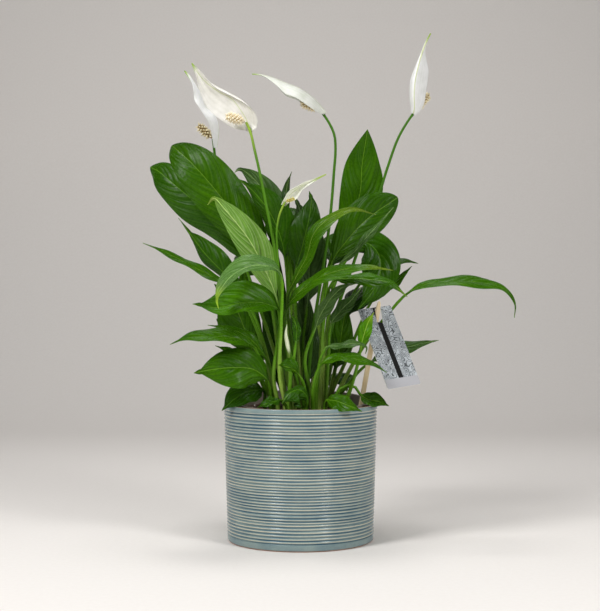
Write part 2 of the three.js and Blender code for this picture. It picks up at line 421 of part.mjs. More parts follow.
// ---- blooms -------------------------------------------------------------------------------------
// A spathe is a thin blade through three seen lines: its left margin, its midrib and its right
// margin. It starts round the stem, at the last stalk point but one, and ends at its tip. The
// spadix reaches from the stem's end to one more seen point.
const BLOOMS = [
  { name: 'bloom_far_left', root: [-10, 22],
    stalk: [[-22, 200, 30], [-46, 265, 32], [-68, 322, 28], [-79, 354, 22], [-80, 362, 20],
      [-81, 370, 19]],
    left: [[-83, 378, 10], [-86.5, 388, 6], [-93, 397, 6], [-98, 406, 10], [-99, 418, 14]],
    rib: [[-76, 381, 25], [-79, 391, 26], [-88, 400, 26], [-93, 413, 24],
      [-103, 429, 20]],
    right: [[-78, 380, 36], [-82, 391, 40], [-90, 401, 38], [-96, 413, 30],
      [-101, 424, 23]],
    tip: [-108, 433.5, 19], spadix: [-96, 384, 13], radius: 4.6,
    face: 1 },
  { name: 'bloom_left', root: [-6, -20],
    stalk: [[-11, 150, -28], [-15, 180, -34], [-19, 225, -41], [-25, 275, -44], [-30.5, 303, -45],
      [-37.5, 338, -42], [-42.5, 360, -38], [-46.5, 377, -35], [-50.5, 385.5, -35]],
    left: [[-50, 377.5, -30], [-60, 379.5, -30], [-73, 387, -28], [-86, 398, -26], [-93, 414, -24],
      [-97, 429, -21]],
    rib: [[-49.5, 387, -28], [-55.5, 397, -25], [-64, 407.5, -20], [-76, 414, -17], [-89, 424, -17],
      [-97, 434, -18]],
    right: [[-41, 380, -34], [-39.5, 387, -36], [-46, 398, -36], [-63, 410, -29], [-80, 419, -23],
      [-94, 434, -20]],
    tip: [-101, 441, -18], spadix: [-70, 392, -41], radius: 5.6 },
  { name: 'bloom_middle', root: [6, -3],
    stalk: [[10, 180, -3], [19, 240, -3], [26, 285, -3], [28.5, 308, -3], [31, 340, -3],
      [32.4, 360, -3], [31.5, 373, -3], [28, 382, -2], [21.5, 392.5, -2], [18, 397, -2]],
    left: [[15, 395, -10], [8, 398, -16], [-3, 405, -18], [-14, 409, -15], [-23, 420, -10],
      [-34, 428, -5]],
    rib: [[19, 399.5, 0], [11, 408, 0], [0, 416, 0], [-12, 421, 0], [-26, 426.5, 0],
      [-37, 429.5, 0]],
    right: [[16, 396, 9], [9, 399, 16], [-3, 406, 18], [-14, 410, 15], [-23, 420, 10],
      [-34, 428, 5]],
    tip: [-46, 430, 0], spadix: [-1, 403.5, -2], radius: 4.2, face: 1 },
  { name: 'bloom_right', root: [17, 9],
    stalk: [[30, 200, 14], [48, 252, 12], [62, 292, 9], [73, 320, 8], [80, 342, 6], [90, 370, 4],
      [99, 386, 3], [104, 393, 3], [106.5, 397, 4]],
    left: [[102, 399, 4], [100.5, 409, 6], [101.5, 424, 7], [106.5, 435, 7], [111, 448, 6],
      [114, 457, 5]],
    rib: [[105.3, 399, -2], [105, 410, -4], [106, 424, -5], [109, 438, -4], [112.5, 450, 0],
      [115.5, 458, 3]],
    right: [[109.5, 395, 5], [114, 402, 8], [117, 418, 10], [118, 432, 10], [115.5, 447, 7],
      [116.5, 457, 5]],
    tip: [121, 469, 4], spadix: [118, 411.5, 23], radius: 4.3,
    face: 1 },
  { name: 'bloom_young', root: [3, -27],
    stalk: [[-9, 170, -38], [-18, 225, -47], [-21, 262, -50], [-22, 285, -50], [-19.5, 300, -50],
      [-16, 308.5, -50], [-14, 312, -50.5]],
    left: [[-15, 315, -52], [-9, 323, -54], [-1, 328, -53], [7.2, 331, -51.5]],
    rib: [[-13, 314, -47.5], [-8, 320, -47], [0, 325.5, -47], [8.8, 330, -49]],
    right: [[-10.5, 311, -49.5], [-4, 314.5, -51], [1.5, 321.5, -53], [8.3, 328, -51.5]],
    tip: [25, 338, -50], spadix: [-5, 315, -58], radius: 2.3,
    thick: 0.75 },
];
const BUD = { root: [-8.3, -36.5], stalk: [[-10, 140, -41], [-10, 160, -45]],
  rib: [[-10, 170, -47], [-12, 180, -49], [-13.5, 190, -50], [-12.5, 199, -50]],
  half: [2, 2], thick: 0.7, wave: 0, steps: 5, stalkSteps: 3 };

/** A round stem along seen points from its hole in the soil, with a ring at each of them. */
function stemGeometry({ root, stalk, thick = 1 }) {
  const curve = stalkPath(root, stalk);
  const rings = curve.points.map((_, i) => {
    const share = shareAt(curve, i);
    const along = curve.getTangentAt(share);
    const { side } = crossAxes(along);
    const radius = THREE.MathUtils.lerp(STEM.foot, STEM.neck, share) * thick;
    return section({ centre: curve.getPointAt(share), along, left: side.clone(),
      right: side.clone().negate(), radius, open: 0, thickness: 1, face: 1, arch: 0 });
  });
  const end = curve.getPointAt(1).addScaledVector(curve.getTangentAt(1), STEM.crown);
  return skin(rings, end);
}

/** Three points round a stem, clear of it by the fit: left of it, behind it and right of it. */
function hugPoints(bloom) {
  const curve = stalkPath(bloom.root, bloom.stalk);
  const share = shareAt(curve, curve.points.length - 2);
  const middle = curve.getPointAt(share);
  const along = curve.getTangentAt(share);
  const [left, rib, right] = [bloom.left, bloom.rib, bloom.right].map((line) => seen(line[0]));
  const across = left.clone().sub(right);
  across.addScaledVector(along, -across.dot(along)).normalize();
  const behind = rib.sub(middle);
  behind.addScaledVector(along, -behind.dot(along));
  behind.addScaledVector(across, -behind.dot(across)).normalize();
  const reach = STEM.neck * (bloom.thick ?? 1) + SPATHE.thickness / 2 + FIT;
  return [
    middle.clone().addScaledVector(across, reach + FIT),
    middle.clone().addScaledVector(behind, reach + FIT),
    middle.clone().addScaledVector(across, -reach - FIT),
  ];
}

/** A spathe: a thin cupped blade between two margins, drawn out to a tip. */
function spatheGeometry(bloom) {
  const tip = seen(bloom.tip);
  const hug = hugPoints(bloom);
  const [left, rib, right] = [bloom.left, bloom.rib, bloom.right].map((line, i) =>
    new THREE.CatmullRomCurve3([hug[i], ...line.map(seen), tip]));
  const rings = [];
  for (let i = 0; i < SPATHE.steps; i += 1) {
    const share = i / SPATHE.steps;
    const centre = rib.getPoint(share);
    rings.push(section({ centre, along: rib.getTangent(share),
      left: left.getPoint(share).sub(centre), right: right.getPoint(share).sub(centre),
      radius: SPATHE.thickness, open: 1, thickness: SPATHE.thickness, face: bloom.face ?? -1,
      arch: SPATHE.arch }));
  }
  return skin(rings, tip);
}

/** A spadix: a blunt finger on the stem's end, whose surface stands out in rows of florets. */
function spadixGeometry(bloom) {
  const curve = stalkPath(bloom.root, bloom.stalk);
  const end = seen(bloom.spadix);
  const axis = end.clone().sub(curve.getPointAt(1));
  const bend = axis.angleTo(curve.getTangentAt(1));
  const neck = STEM.neck * (bloom.thick ?? 1);
  const clear = STEM.crown + FIT + neck * Math.sin(bend);
  const length = axis.length() - clear;
  const { around, along, dip } = SPADIX;
  const profile = [[0, 0], [neck * SPADIX.foot, 0]];
  for (let i = 1; i <= along; i += 1) {
    const t = i / (along + 1);
    const body = Math.sqrt(1 - Math.abs(2 * t - 1) ** SPADIX.bluntness);
    profile.push([bloom.radius * body, t * length]);
  }
  profile.push([0, length]);
  const geometry = turned(profile, around);
  const position = geometry.getAttribute('position');
  const rows = profile.length;
  for (let k = 0; k < position.count; k += 1) {
    const column = Math.floor(k / rows) % around;
    const row = k % rows;
    const raised = (column + row) % 2 === 0 ? 1 : 1 - dip;
    const inside = row > 1 && row < rows - 1;
    if (inside) position.setXY(k, position.getX(k) * raised, position.getY(k) * raised);
  }
  const base = end.addScaledVector(axis.normalize(), -length);
  const turn = new THREE.Quaternion();
  turn.setFromUnitVectors(new THREE.Vector3(0, 0, 1), axis);
  return geometry.applyQuaternion(turn).translate(base.x, base.y, base.z);
}

// ---- pots and soil ------------------------------------------------------------------------------
/** The glazed pot: a plain rim and foot, and turned ribs between them. */
function potGeometry() {
  const { height, rimRadius, footRadius, footBand, wall, floor, edge, lip, ribs } = POT;
  const top = height - POT.rimBand;
  const outer = (z) => THREE.MathUtils.lerp(footRadius, rimRadius, z / height);
  const profile = [[0, 0], [footRadius - edge, 0], [footRadius, edge]];
  profile.push([outer(footBand), footBand]);
  const pitch = (top - footBand) / ribs;
  for (let i = 0; i < ribs; i += 1) {
    const z = footBand + i * pitch;
    profile.push([outer(z) - POT.ribDepth, z + POT.groove * pitch]);
    profile.push([outer(z), z + POT.crest * pitch]);
  }
  profile.push([rimRadius, top], [rimRadius, height - lip], [rimRadius - lip, height]);
  profile.push([rimRadius - wall + lip, height], [rimRadius - wall, height - lip]);
  profile.push([footRadius - wall, floor], [0, floor]);
  return turned(profile, POT.sides);
}

/** Tilts a geometry about the pot's left-right axis, as the nursery pot leans to the back. */
function tilted(geometry) {
  return geometry.rotateX(NURSERY.tilt).translate(0, NURSERY.lean, NURSERY.rimMiddle);
}

/** The nursery pot: a thin tapered cup with a thicker lip, built down from its rim. */
function nurseryGeometry() {
  const { height, rimRadius, wallRadius, baseRadius, wall, lip, sides } = NURSERY;
  return tilted(turned([
    [0, -height], [baseRadius, -height], [wallRadius, -lip], [rimRadius, -lip], [rimRadius, 0],
    [wallRadius - wall, 0], [baseRadius - wall, wall - height], [0, wall - height],
  ], sides));
}

/** Radius of the nursery pot's cavity at `depth` below its rim. */
function cavityRadius(depth) {
  const { height, wallRadius, baseRadius, wall } = NURSERY;
  return THREE.MathUtils.lerp(wallRadius, baseRadius, depth / height) - wall;
}

/** The soil: a plug with a crumbly top, and a plain hole for every stalk. */
function soilGeometry(feet) {
  const random = seeded(SOIL.seed);
  const top = NURSERY.rimMiddle - SOIL.top;
  const bottom = NURSERY.height - NURSERY.wall - SOIL.clearance;
  const rimRadius = cavityRadius(top) - SOIL.clearance;
  const profile = [[0, -bottom], [cavityRadius(bottom) - SOIL.clearance, -bottom], [rimRadius, -top]];
  for (let i = SOIL.rings - 1; i > 0; i -= 1) profile.push([(rimRadius * i) / SOIL.rings, -top]);
  profile.push([0, -top]);
  const plug = merged(turned(profile, SOIL.sides));
  const position = plug.getAttribute('position');
  for (let k = 0; k < position.count; k += 1) {
    const radius = Math.hypot(position.getX(k), position.getY(k));
    const onTop = Math.abs(position.getZ(k) + top) < SAME_PLACE && radius < rimRadius - 1;
    if (onTop) position.setZ(k, position.getZ(k) + SOIL.lump * (2 * random() - 1));
  }
  let soil = toSolid(tilted(plug));
  feet.forEach(({ root: [x, y], radius, lean = new THREE.Vector3(0, 0, 1) }) => {
    const reach = (radius + FIT) / Math.cos(Math.PI / HOLE_SIDES);
    const bore = new THREE.CylinderGeometry(reach, reach, 2 * ROOT_DEPTH + FIT, HOLE_SIDES);
    const turn = new THREE.Quaternion().setFromUnitVectors(new THREE.Vector3(0, 1, 0), lean);
    const foot = SOIL.top + y * Math.tan(NURSERY.tilt) - ROOT_DEPTH;
    bore.translate(0, ROOT_DEPTH - FIT / 2, 0).applyQuaternion(turn).translate(x, y, foot);
    soil = soil.subtract(toSolid(bore));
  });
  return toGeometry(soil);
}

// ---- stick and tag ------------------------------------------------------------------------------
/** The lower end of the stick, in its hole. */
function stickFoot() {
  const [x, y] = STICK.foot;
  return new THREE.Vector3(x, y, SOIL.top + y * Math.tan(NURSERY.tilt) - ROOT_DEPTH);
}

/** The stick: a flat wooden stake with a blunt point at the top. */
function stickGeometry() {
  const foot = stickFoot();
  const axis = seen(STICK.top).sub(foot);
  const length = axis.length();
  const radius = STICK.width / 2;
  const { share, below } = STICK.shoulder;
  const profile = [[0, 0], [radius, 0], [radius, length - STICK.point]];
  profile.push([radius * share, length - below], [0, length]);
  const geometry = turned(profile, STICK.sides).scale(1, STICK.depth / STICK.width, 1);
  const turn = new THREE.Quaternion();
  turn.setFromUnitVectors(new THREE.Vector3(0, 0, 1), axis.clone().normalize());
  return geometry.applyQuaternion(turn).translate(foot.x, foot.y, foot.z);
}

/** The tag: a card with a slot near its top, which the stick comes through. */
function tagGeometry() {
  const [topLeft, topRight, bottomLeft] = TAG.corners.map(seen);
  const right = topRight.clone().sub(topLeft);
  const down = bottomLeft.clone().sub(topLeft);
  const [half, length] = [right.length() / 2, down.length()];
  right.normalize();
  const up = down.negate().addScaledVector(right, -down.dot(right)).normalize();
  const place = new THREE.Matrix4().makeBasis(right, up, right.clone().cross(up));
  const stick = seen(STICK.top).sub(stickFoot());
  const outline = new THREE.Shape();
  outline.moveTo(-half, TAG.corner - length);
  outline.lineTo(-half, -TAG.corner);
  outline.lineTo(TAG.corner - half, 0);
  outline.lineTo(half - TAG.corner, 0);
  outline.lineTo(half, -TAG.corner);
  outline.lineTo(half, TAG.corner - length);
  outline.lineTo(half - TAG.corner, -length);
  outline.lineTo(TAG.corner - half, -length);
  outline.closePath();
  // the slot follows the stick's slant across the card
  const slant = Math.atan2(-stick.dot(right), stick.dot(up));
  const slot = new THREE.Path();
  [[-1, -1], [1, -1], [1, 1], [-1, 1]].forEach(([i, j], k) => {
    const corner = new THREE.Vector2((i * TAG.slotWidth) / 2, (j * TAG.slotLength) / 2);
    corner.rotateAround(new THREE.Vector2(), slant).add(new THREE.Vector2(...TAG.slotAt));
    if (k === 0) slot.moveTo(corner.x, corner.y);
    else slot.lineTo(corner.x, corner.y);
  });
  slot.closePath();
  outline.holes.push(slot);
  const card = new THREE.ExtrudeGeometry(outline, { depth: TAG.thickness, bevelEnabled: false });
  card.translate(0, 0, -TAG.thickness / 2).applyMatrix4(place);
  const middle = topLeft.addScaledVector(right, half);
  return card.translate(middle.x, middle.y, middle.z);
}

// ---- assembly -----------------------------------------------------------------------------------
const plant = new THREE.Group();

/** Adds one named piece with its own material. */
function addPiece(name, geometry, color, roughness) {
  const material = new THREE.MeshStandardMaterial({ color, roughness, metalness: 0 });
  const mesh = new THREE.Mesh(geometry, material);
  mesh.name = name;
  plant.add(mesh);
}

const feet = [
  ...LEAVES.map(({ root, thick = 1 }) => ({ root, radius: STALK.foot * thick })),
  ...BLOOMS.map(({ root, thick = 1 }) => ({ root, radius: STEM.foot * thick })),
  { root: BUD.root, radius: STALK.foot * BUD.thick },
  { root: STICK.foot, radius: STICK.width / 2,
    lean: seen(STICK.top).sub(stickFoot()).normalize() },
];

addPiece('ceramic_pot', potGeometry(), 0x9fb3ae, 0.2);
addPiece('nursery_pot', nurseryGeometry(), 0x7b6f66, 0.5);
addPiece('soil', soilGeometry(feet), 0x2e2219, 0.95);

const nodes = new Map();
LEAVES.forEach((leaf) => nodes.set(leaf.node, [...(nodes.get(leaf.node) ?? []), leaf]));
nodes.forEach((leaves, name) => {
  const solids = leaves.map((leaf) => toSolid(leafGeometry(leaf)));
  const geometry = toGeometry(solids.reduce((whole, solid) => whole.add(solid)));
  addPiece(name, geometry, GREEN[leaves[0].colour], 0.35);
});

BLOOMS.forEach((bloom) => {
  addPiece(`${bloom.name}_stem`, stemGeometry(bloom), 0x5c8a2a, 0.4);
  addPiece(`${bloom.name}_spathe`, spatheGeometry(bloom), 0xeef0e8, 0.5);
  addPiece(`${bloom.name}_spadix`, spadixGeometry(bloom), 0xe6d3a2, 0.7);
});
addPiece('bud', leafGeometry(BUD), 0xc9d6a0, 0.5);

addPiece('stick', stickGeometry(), 0xe0c08a, 0.7);
addPiece('tag', tagGeometry(), 0xc3c8cc, 0.8);

export default plant;
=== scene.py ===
"""Looks of a potted peace lily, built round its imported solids.

Each sub-assembly is a class: the glazed pot, the plastic pot with its soil, the leaves, the blooms
and the bud, the stick, the tag, and the studio round them. Sizes are in millimetres and become
metres where a mesh is made, except in the studio, where they are in metres.
"""
import logging
import math
import random
from collections.abc import Iterable, Sequence
from dataclasses import dataclass, field
from enum import Enum

import bpy
import numpy as np
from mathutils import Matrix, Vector, noise
from mathutils.geometry import tessellate_polygon


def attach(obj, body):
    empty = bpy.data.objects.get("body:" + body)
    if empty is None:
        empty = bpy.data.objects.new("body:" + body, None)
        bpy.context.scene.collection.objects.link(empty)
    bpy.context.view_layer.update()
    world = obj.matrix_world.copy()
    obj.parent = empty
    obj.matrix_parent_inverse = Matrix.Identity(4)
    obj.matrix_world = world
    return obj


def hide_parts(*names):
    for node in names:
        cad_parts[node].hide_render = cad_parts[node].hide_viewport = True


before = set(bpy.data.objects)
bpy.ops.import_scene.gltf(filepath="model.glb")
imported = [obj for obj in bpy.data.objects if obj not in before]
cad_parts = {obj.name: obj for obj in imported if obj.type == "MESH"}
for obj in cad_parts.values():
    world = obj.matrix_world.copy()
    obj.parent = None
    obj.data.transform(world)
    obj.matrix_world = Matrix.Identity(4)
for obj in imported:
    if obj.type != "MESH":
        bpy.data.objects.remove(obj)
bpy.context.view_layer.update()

MM = 0.001
BODY = "root"
PHOTO_LONG_SIDE = 611  # pixels
MM_PER_PIXEL = 0.925  # at the pot's axis
EYE_DISTANCE = 1200.0
EYE_HEIGHT = 216.0
EYE_ACROSS = -0.46
SENSOR = 36.0
FIT = 0.3  # clearance between pieces that touch
GOLDEN_ANGLE = math.pi * (3 - math.sqrt(5))
PLAIN = (1.0, 0.0)  # neither lighter nor yellower than its finish

log = logging.getLogger("peace_lily")

Pair = tuple[float, float]
Triple = tuple[float, float, float]


# ---- numbers ----
def unit(vectors: np.ndarray) -> np.ndarray:
    """Returns the vector, or each row of an array of them, at length one."""
    return vectors / np.maximum(np.linalg.norm(vectors, axis=-1, keepdims=True), 1e-9)


def ease(value: float | np.ndarray, low: float, high: float) -> float | np.ndarray:
    """Rises smoothly from 0 to 1 between two values.

    Args:
        value: What is measured.
        low: Where the rise begins.
        high: Where it ends.

    Returns:
        The share, from 0 to 1.
    """
    share = np.clip((value - low) / (high - low), 0.0, 1.0)
    return share * share * (3 - 2 * share)


def mix(pair: Pair, share: float) -> float:
    """Returns the value that lies at a share of the way between two."""
    return pair[0] + (pair[1] - pair[0]) * share


def seen(point: Triple) -> np.ndarray:
    """Places a point where the camera sees it.

    Args:
        point: Across and up, as seen at the pot's axis, and the depth behind that axis.

    Returns:
        The point in the part's frame.
    """
    across, up, depth = point
    scale = 1 + depth / EYE_DISTANCE
    return np.array([across * scale, depth, EYE_HEIGHT + (up - EYE_HEIGHT) * scale])


class Spline:
    """A centripetal Catmull-Rom curve through points, measured by its length."""

    SAMPLES = 48  # between two points
    REACH = 1.2  # how far to each side a direction is measured

    def __init__(self, knots: Iterable[np.ndarray]) -> None:
        """Samples the curve.

        Args:
            knots: The points that it passes through, in order.
        """
        rows = np.array(list(knots), dtype=float)
        rows = np.vstack([2 * rows[0] - rows[1], rows, 2 * rows[-1] - rows[-2]])
        spans = [self._span(rows[i:i + 4]) for i in range(len(rows) - 3)]
        self.points = np.vstack([*spans, rows[-2]])
        steps = np.linalg.norm(np.diff(self.points, axis=0), axis=1)
        self.lengths = np.concatenate([[0.0], np.cumsum(steps)])
        self.length = float(self.lengths[-1])

    @classmethod
    def _span(cls, four: np.ndarray) -> np.ndarray:
        """Samples the curve between the second and the third of four points.

        Args:
            four: The points, one a row.

        Returns:
            The samples, with the second point and without the third.
        """
        a, b, c, d = four
        before, gap, after = np.sqrt(np.linalg.norm(np.diff(four, axis=0), axis=1))
        start = ((b - a) / before - (c - a) / (before + gap) + (c - b) / gap) * gap
        end = ((c - b) / gap - (d - b) / (gap + after) + (d - c) / after) * gap
        t = np.linspace(0, 1, cls.SAMPLES, endpoint=False)[:, None]
        square = (3 * (c - b) - 2 * start - end) * t ** 2
        return b + start * t + square + (2 * (b - c) + start + end) * t ** 3

    def share_at(self, number: int) -> float:
        """Returns the share of the length that is behind one of the points."""
        return float(self.lengths[self.SAMPLES * number] / self.length)

    def at(self, share: float) -> np.ndarray:
        """Returns the point at a share of the length."""
        wanted = np.clip(share, 0, 1) * self.length
        return np.array([np.interp(wanted, self.lengths, axis) for axis in self.points.T])

    def along(self, share: float) -> np.ndarray:
        """Returns the direction at a share of the length."""
        step = self.REACH / self.length
        return unit(self.at(share + step) - self.at(share - step))

    def spot(self, share: float) -> np.ndarray:
        """Returns the point at a share of the way, counted in the points that it passes."""
        wanted = share * (len(self.points) - 1)
        return np.array([np.interp(wanted, range(len(self.points)), axis) for axis in self.points.T])


def cross_axes(along: np.ndarray, hint: Triple | None) -> tuple[np.ndarray, np.ndarray]:
    """Finds the directions across a path.

    Args:
        along: The path's direction.
        hint: A rough sideways direction, where the path runs to or from the front.

    Returns:
        Sideways, and away from the front.
    """
    side = np.cross(along, [0, 1, 0]) if hint is None else np.array(hint, dtype=float)
    side = unit(side - along * np.dot(side, along))
    return side, unit(np.cross(side, along))


# ---- meshes ----
def circle(count: int) -> np.ndarray:
    """Returns evenly spaced angles round a full turn."""
    return np.linspace(0, 2 * math.pi, count, endpoint=False)


def hoop(count: int, side: np.ndarray, front: np.ndarray) -> np.ndarray:
    """Returns the points of a circle of radius one that turns from a side to the front."""
    angles = circle(count)[:, None]
    return np.cos(angles) * side + np.sin(angles) * front


def upright_to(direction: np.ndarray) -> np.ndarray:
    """Returns the matrix that turns the upright axis into a direction."""
    return np.array(Vector((0, 0, 1)).rotation_difference(Vector(direction)).to_matrix())


@dataclass
class Draft:
    """A mesh in the making: points, faces, and marks that its finishes read.

    A point's marks are two for its pattern, such as its number in it and its share across, and
    two measures in millimetres, such as how far along and across the surface it lies.
    """

    points: list[np.ndarray] = field(default_factory=list)
    marks: list[np.ndarray] = field(default_factory=list)
    faces: list[tuple[int, ...]] = field(default_factory=list)
    slots: list[int] = field(default_factory=list)
    looks: list[np.ndarray] = field(default_factory=list)
    count: int = 0

    def add_points(self, points: np.ndarray, marks: np.ndarray,
                   looks: np.ndarray | Pair = PLAIN) -> int:
        """Adds loose points.

        Args:
            points: Their places, one a row.
            marks: Their four marks, one row each.
            looks: How light they are and how yellow, for all or one row each.

        Returns:
            The number of the first of them.
        """
        first = self.count
        self.points.append(np.asarray(points, dtype=float).reshape(-1, 3))
        self.marks.append(np.asarray(marks, dtype=float).reshape(-1, 4))
        self.count += len(self.points[-1])
        self.looks.append(np.broadcast_to(looks, (len(self.points[-1]), 2)))
        return first

    def add_face(self, corners: Iterable[int], slot: int) -> None:
        """Adds one face by the numbers of its corners and of its finish."""
        self.faces.append(tuple(int(corner) for corner in corners))
        self.slots.append(slot)

    def add_rings(self, rings: np.ndarray, marks: np.ndarray, slots: Sequence[int],
                  capped: tuple[bool, bool] = (True, True),
                  looks: np.ndarray | Pair = PLAIN) -> None:
        """Adds a closed skin through rings that turn left as seen along their way.

        Args:
            rings: Points of each ring, as an array of rings by points by three.
            marks: Their marks, as an array of rings by points by four.
            slots: The finish of the faces after each point of a ring.
            capped: Whether the first and the last ring are closed by a fan.
            looks: How light and how yellow each ring is.
        """
        rows, columns = rings.shape[:2]
        looks = np.broadcast_to(looks, (rows, 2))
        first = self.add_points(rings, marks, np.repeat(looks, columns, axis=0))
        index = first + np.arange(rows * columns).reshape(rows, columns)
        after = np.roll(index, -1, axis=1)
        for i in range(rows - 1):
            for j in range(columns):
                self.add_face((index[i, j], after[i, j], after[i + 1, j], index[i + 1, j]), slots[j])
        for wanted, row, turn in ((capped[0], 0, -1), (capped[1], rows - 1, 1)):
            if not wanted:
                continue
            middle = self.add_points(rings[row].mean(axis=0), marks[row].mean(axis=0), looks[row])
            for j in range(columns):
                pair = (index[row, j], after[row, j])[::turn]
                self.add_face((middle, *pair), slots[j])

    def dress(self, name: str, finishes: Sequence[bpy.types.Material], node: str,
              crease: float = 50.0) -> None:
        """Makes the piece and hands it over to the frame.

        Args:
            name: The piece's name.
            finishes: Its materials, in the order of the faces' slots.
            node: The solid that it stands for.
            crease: Edges that turn by more degrees than this are sharp.
        """
        mesh = bpy.data.meshes.new(name)
        mesh.from_pydata((np.vstack(self.points) * MM).tolist(), [], self.faces)
        for finish in finishes:
            mesh.materials.append(finish)
        mesh.polygons.foreach_set("material_index", self.slots)
        mesh.polygons.foreach_set("use_smooth", [True] * len(self.faces))
        corners = np.empty(len(mesh.loops), dtype=np.int32)
        mesh.loops.foreach_get("vertex_index", corners)
        marks, looks = np.vstack(self.marks)[corners], np.vstack(self.looks)
        for layer, columns in (("pattern", marks[:, :2]), ("measure", marks[:, 2:])):
            mesh.uv_layers.new(name=layer).data.foreach_set("uv", columns.ravel())
        for look, values in zip(("tint", "yellow"), looks.T):
            mesh.attributes.new(look, "FLOAT", "POINT").data.foreach_set("value", values.copy())
        mesh.set_sharp_from_angle(angle=math.radians(crease))
        mesh.update()
        piece = bpy.data.objects.new(name, mesh)
        bpy.context.collection.objects.link(piece)
        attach(piece, BODY)
        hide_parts(node)
        log.info("%s stands for %s: %d faces", name, node, len(self.faces))


def tube(draft: Draft, curve: Spline, shares: Sequence[float], radii: np.ndarray,
         turns: Sequence[float]) -> None:
    """Adds a rod along a curve.

    Args:
        draft: The mesh that it goes into.
        curve: Its middle line.
        shares: Where along the curve its rings lie.
        radii: The radius at each point, one ring a row.
        turns: How far its colour has turned at each ring.
    """
    around = radii.shape[1]
    rings, marks = [], []
    for share, row, turn in zip(shares, radii, turns):
        along = curve.along(share)
        side, _ = cross_axes(along, None)
        rings.append(curve.at(share) + row[:, None] * hoop(around, side, np.cross(along, side)))
        mark = np.tile([turn, 0, share * curve.length, 0], (around, 1))
        mark[:, 3] = row * np.cos(circle(around))
        marks.append(mark)
    draft.add_rings(np.array(rings), np.array(marks), [0] * around)


def turned(draft: Draft, profile: Sequence[Pair], marks: np.ndarray, around: int) -> None:
    """Adds a body turned about the upright axis, from a profile that runs up its outside.

    Args:
        draft: The mesh that it goes into.
        profile: Radius and height of each row.
        marks: The four marks of each row.
        around: Points in each row.
    """
    x, y = np.cos(circle(around)), np.sin(circle(around))
    rings = [np.stack([r * x, r * y, np.full(around, z)], axis=1) for r, z in profile]
    draft.add_rings(np.array(rings), np.repeat(marks[:, None, :], around, axis=1), [0] * around)


# ---- finishes ----
MIX_BELOW, MIX_ABOVE, MIX_OUT = 6, 7, 2  # the colour sockets of a mix node

Feed = float | str | Sequence[float] | bpy.types.Node | bpy.types.NodeSocket
Colour = tuple[float, float, float, float]


def linear(code: str) -> Colour:
    """Turns an sRGB colour code into linear light.

    Args:
        code: Six hexadecimal digits after a hash.

    Returns:
        Red, green, blue and full opacity.
    """
    shares = [int(code[i:i + 2], 16) / 255 for i in (1, 3, 5)]
    red, green, blue = [s / 12.92 if s <= 0.04045 else ((s + 0.055) / 1.055) ** 2.4 for s in shares]
    return red, green, blue, 1.0


def per_metre(size: float) -> float:
    """Returns the texture scale that gives features of a size in millimetres."""
    return 1 / (size * MM)


class Paint:
    """A material in the making."""

    def __init__(self, name: str, **values: Feed) -> None:
        """Starts a material.

        Args:
            name: Its name.
            values: Values of the shader's own sockets, with underscores for spaces.
        """
        self.material = bpy.data.materials.new(name)
        self.material.use_nodes = True
        self.tree = self.material.node_tree
        self.shader = self.tree.nodes["Principled BSDF"]
        for key, value in values.items():
            self.feed(self.shader, key.replace("_", " "), value)

    def feed(self, node: bpy.types.Node, key: str | int, value: Feed) -> None:
        """Sets an input of a node, or links it.

        Args:
            node: The node.
            key: The input's name or number.
            value: A value, a colour code, a socket, or a node whose result is meant.
        """
        if isinstance(value, str):
            value = linear(value)
        if isinstance(value, bpy.types.Node):
            value = value.outputs[MIX_OUT if value.bl_idname == "ShaderNodeMix" else 0]
        if isinstance(value, bpy.types.NodeSocket):
            self.tree.links.new(value, node.inputs[key])
        else:
            node.inputs[key].default_value = value

    def add(self, kind: str, *ordered: Feed, **named: object) -> bpy.types.Node:
        """Adds a node.

        Args:
            kind: Its type, without the ShaderNode prefix.
            ordered: What its first inputs get, in their order.
            named: Its inputs, which begin with a capital letter, and its own settings.

        Returns:
            The new node.
        """
        node = self.tree.nodes.new("ShaderNode" + kind)
        inputs = dict(enumerate(ordered))
        for key, value in named.items():
            if key[0].isupper():
                inputs[key] = value
            else:
                setattr(node, key, value)
        for key, value in inputs.items():
            self.feed(node, key, value)
        return node

    def marks(self, layer: str) -> list[bpy.types.NodeSocket]:
        """Returns both marks that the meshes carry in a layer."""
        return list(self.add("SeparateXYZ", self.add("UVMap", uv_map=layer)).outputs)[:2]

    def coats(self, ground: Feed, *layers: tuple[Feed, Feed], blend: str = "MIX") -> Feed:
        """Lays colours over a ground.

        Args:
            ground: The colour below them all.
            layers: Where each one lies, from 0 to 1, and its colour.
            blend: How they join what is below.

        Returns:
            The node that shows them all.
        """
        for share, colour in layers:
            node = self.add("Mix", share, data_type="RGBA", blend_type=blend)
            self.feed(node, MIX_BELOW, ground)
            self.feed(node, MIX_ABOVE, colour)
            ground = node
        return ground

    def finish(self, colour: Feed, relief: tuple[Feed, float, float] | None = None,
               gloss: Feed | None = None, lightness: Feed | None = None) -> bpy.types.Material:
        """Hands the patterns to the shader.

        Args:
            colour: The surface's colour.
            relief: A height, how strongly it shows and how deep it is.
            gloss: The roughness, where it changes over the surface.
            lightness: What makes the colour lighter or darker from place to place.

        Returns:
            The material.
        """
        if lightness is not None:
            colour = self.coats(colour, (1.0, lightness), blend="MULTIPLY")
        self.feed(self.shader, "Base Color", colour)
        if gloss is not None:
            self.feed(self.shader, "Roughness", gloss)
        if relief is not None:
            height, strength, depth = relief
            bump = self.add("Bump", Strength=strength, Distance=depth * MM, Height=height)
            self.feed(self.shader, "Normal", bump)
        return self.material


class Side(Enum):
    """The two sides of a leaf."""

    UPPER = "upper"
    UNDER = "under"


class Tone(Enum):
    """The leaves' shades, by the record's slots."""

    DEEP = "leaf_deep"
    MID = "leaf_mid"
    BRIGHT = "leaf_bright"
    # a leaf's green greyed: painted sheen, the grey-green shine of a waxy top seen at a grazing angle
    GREY = "leaf_grey"


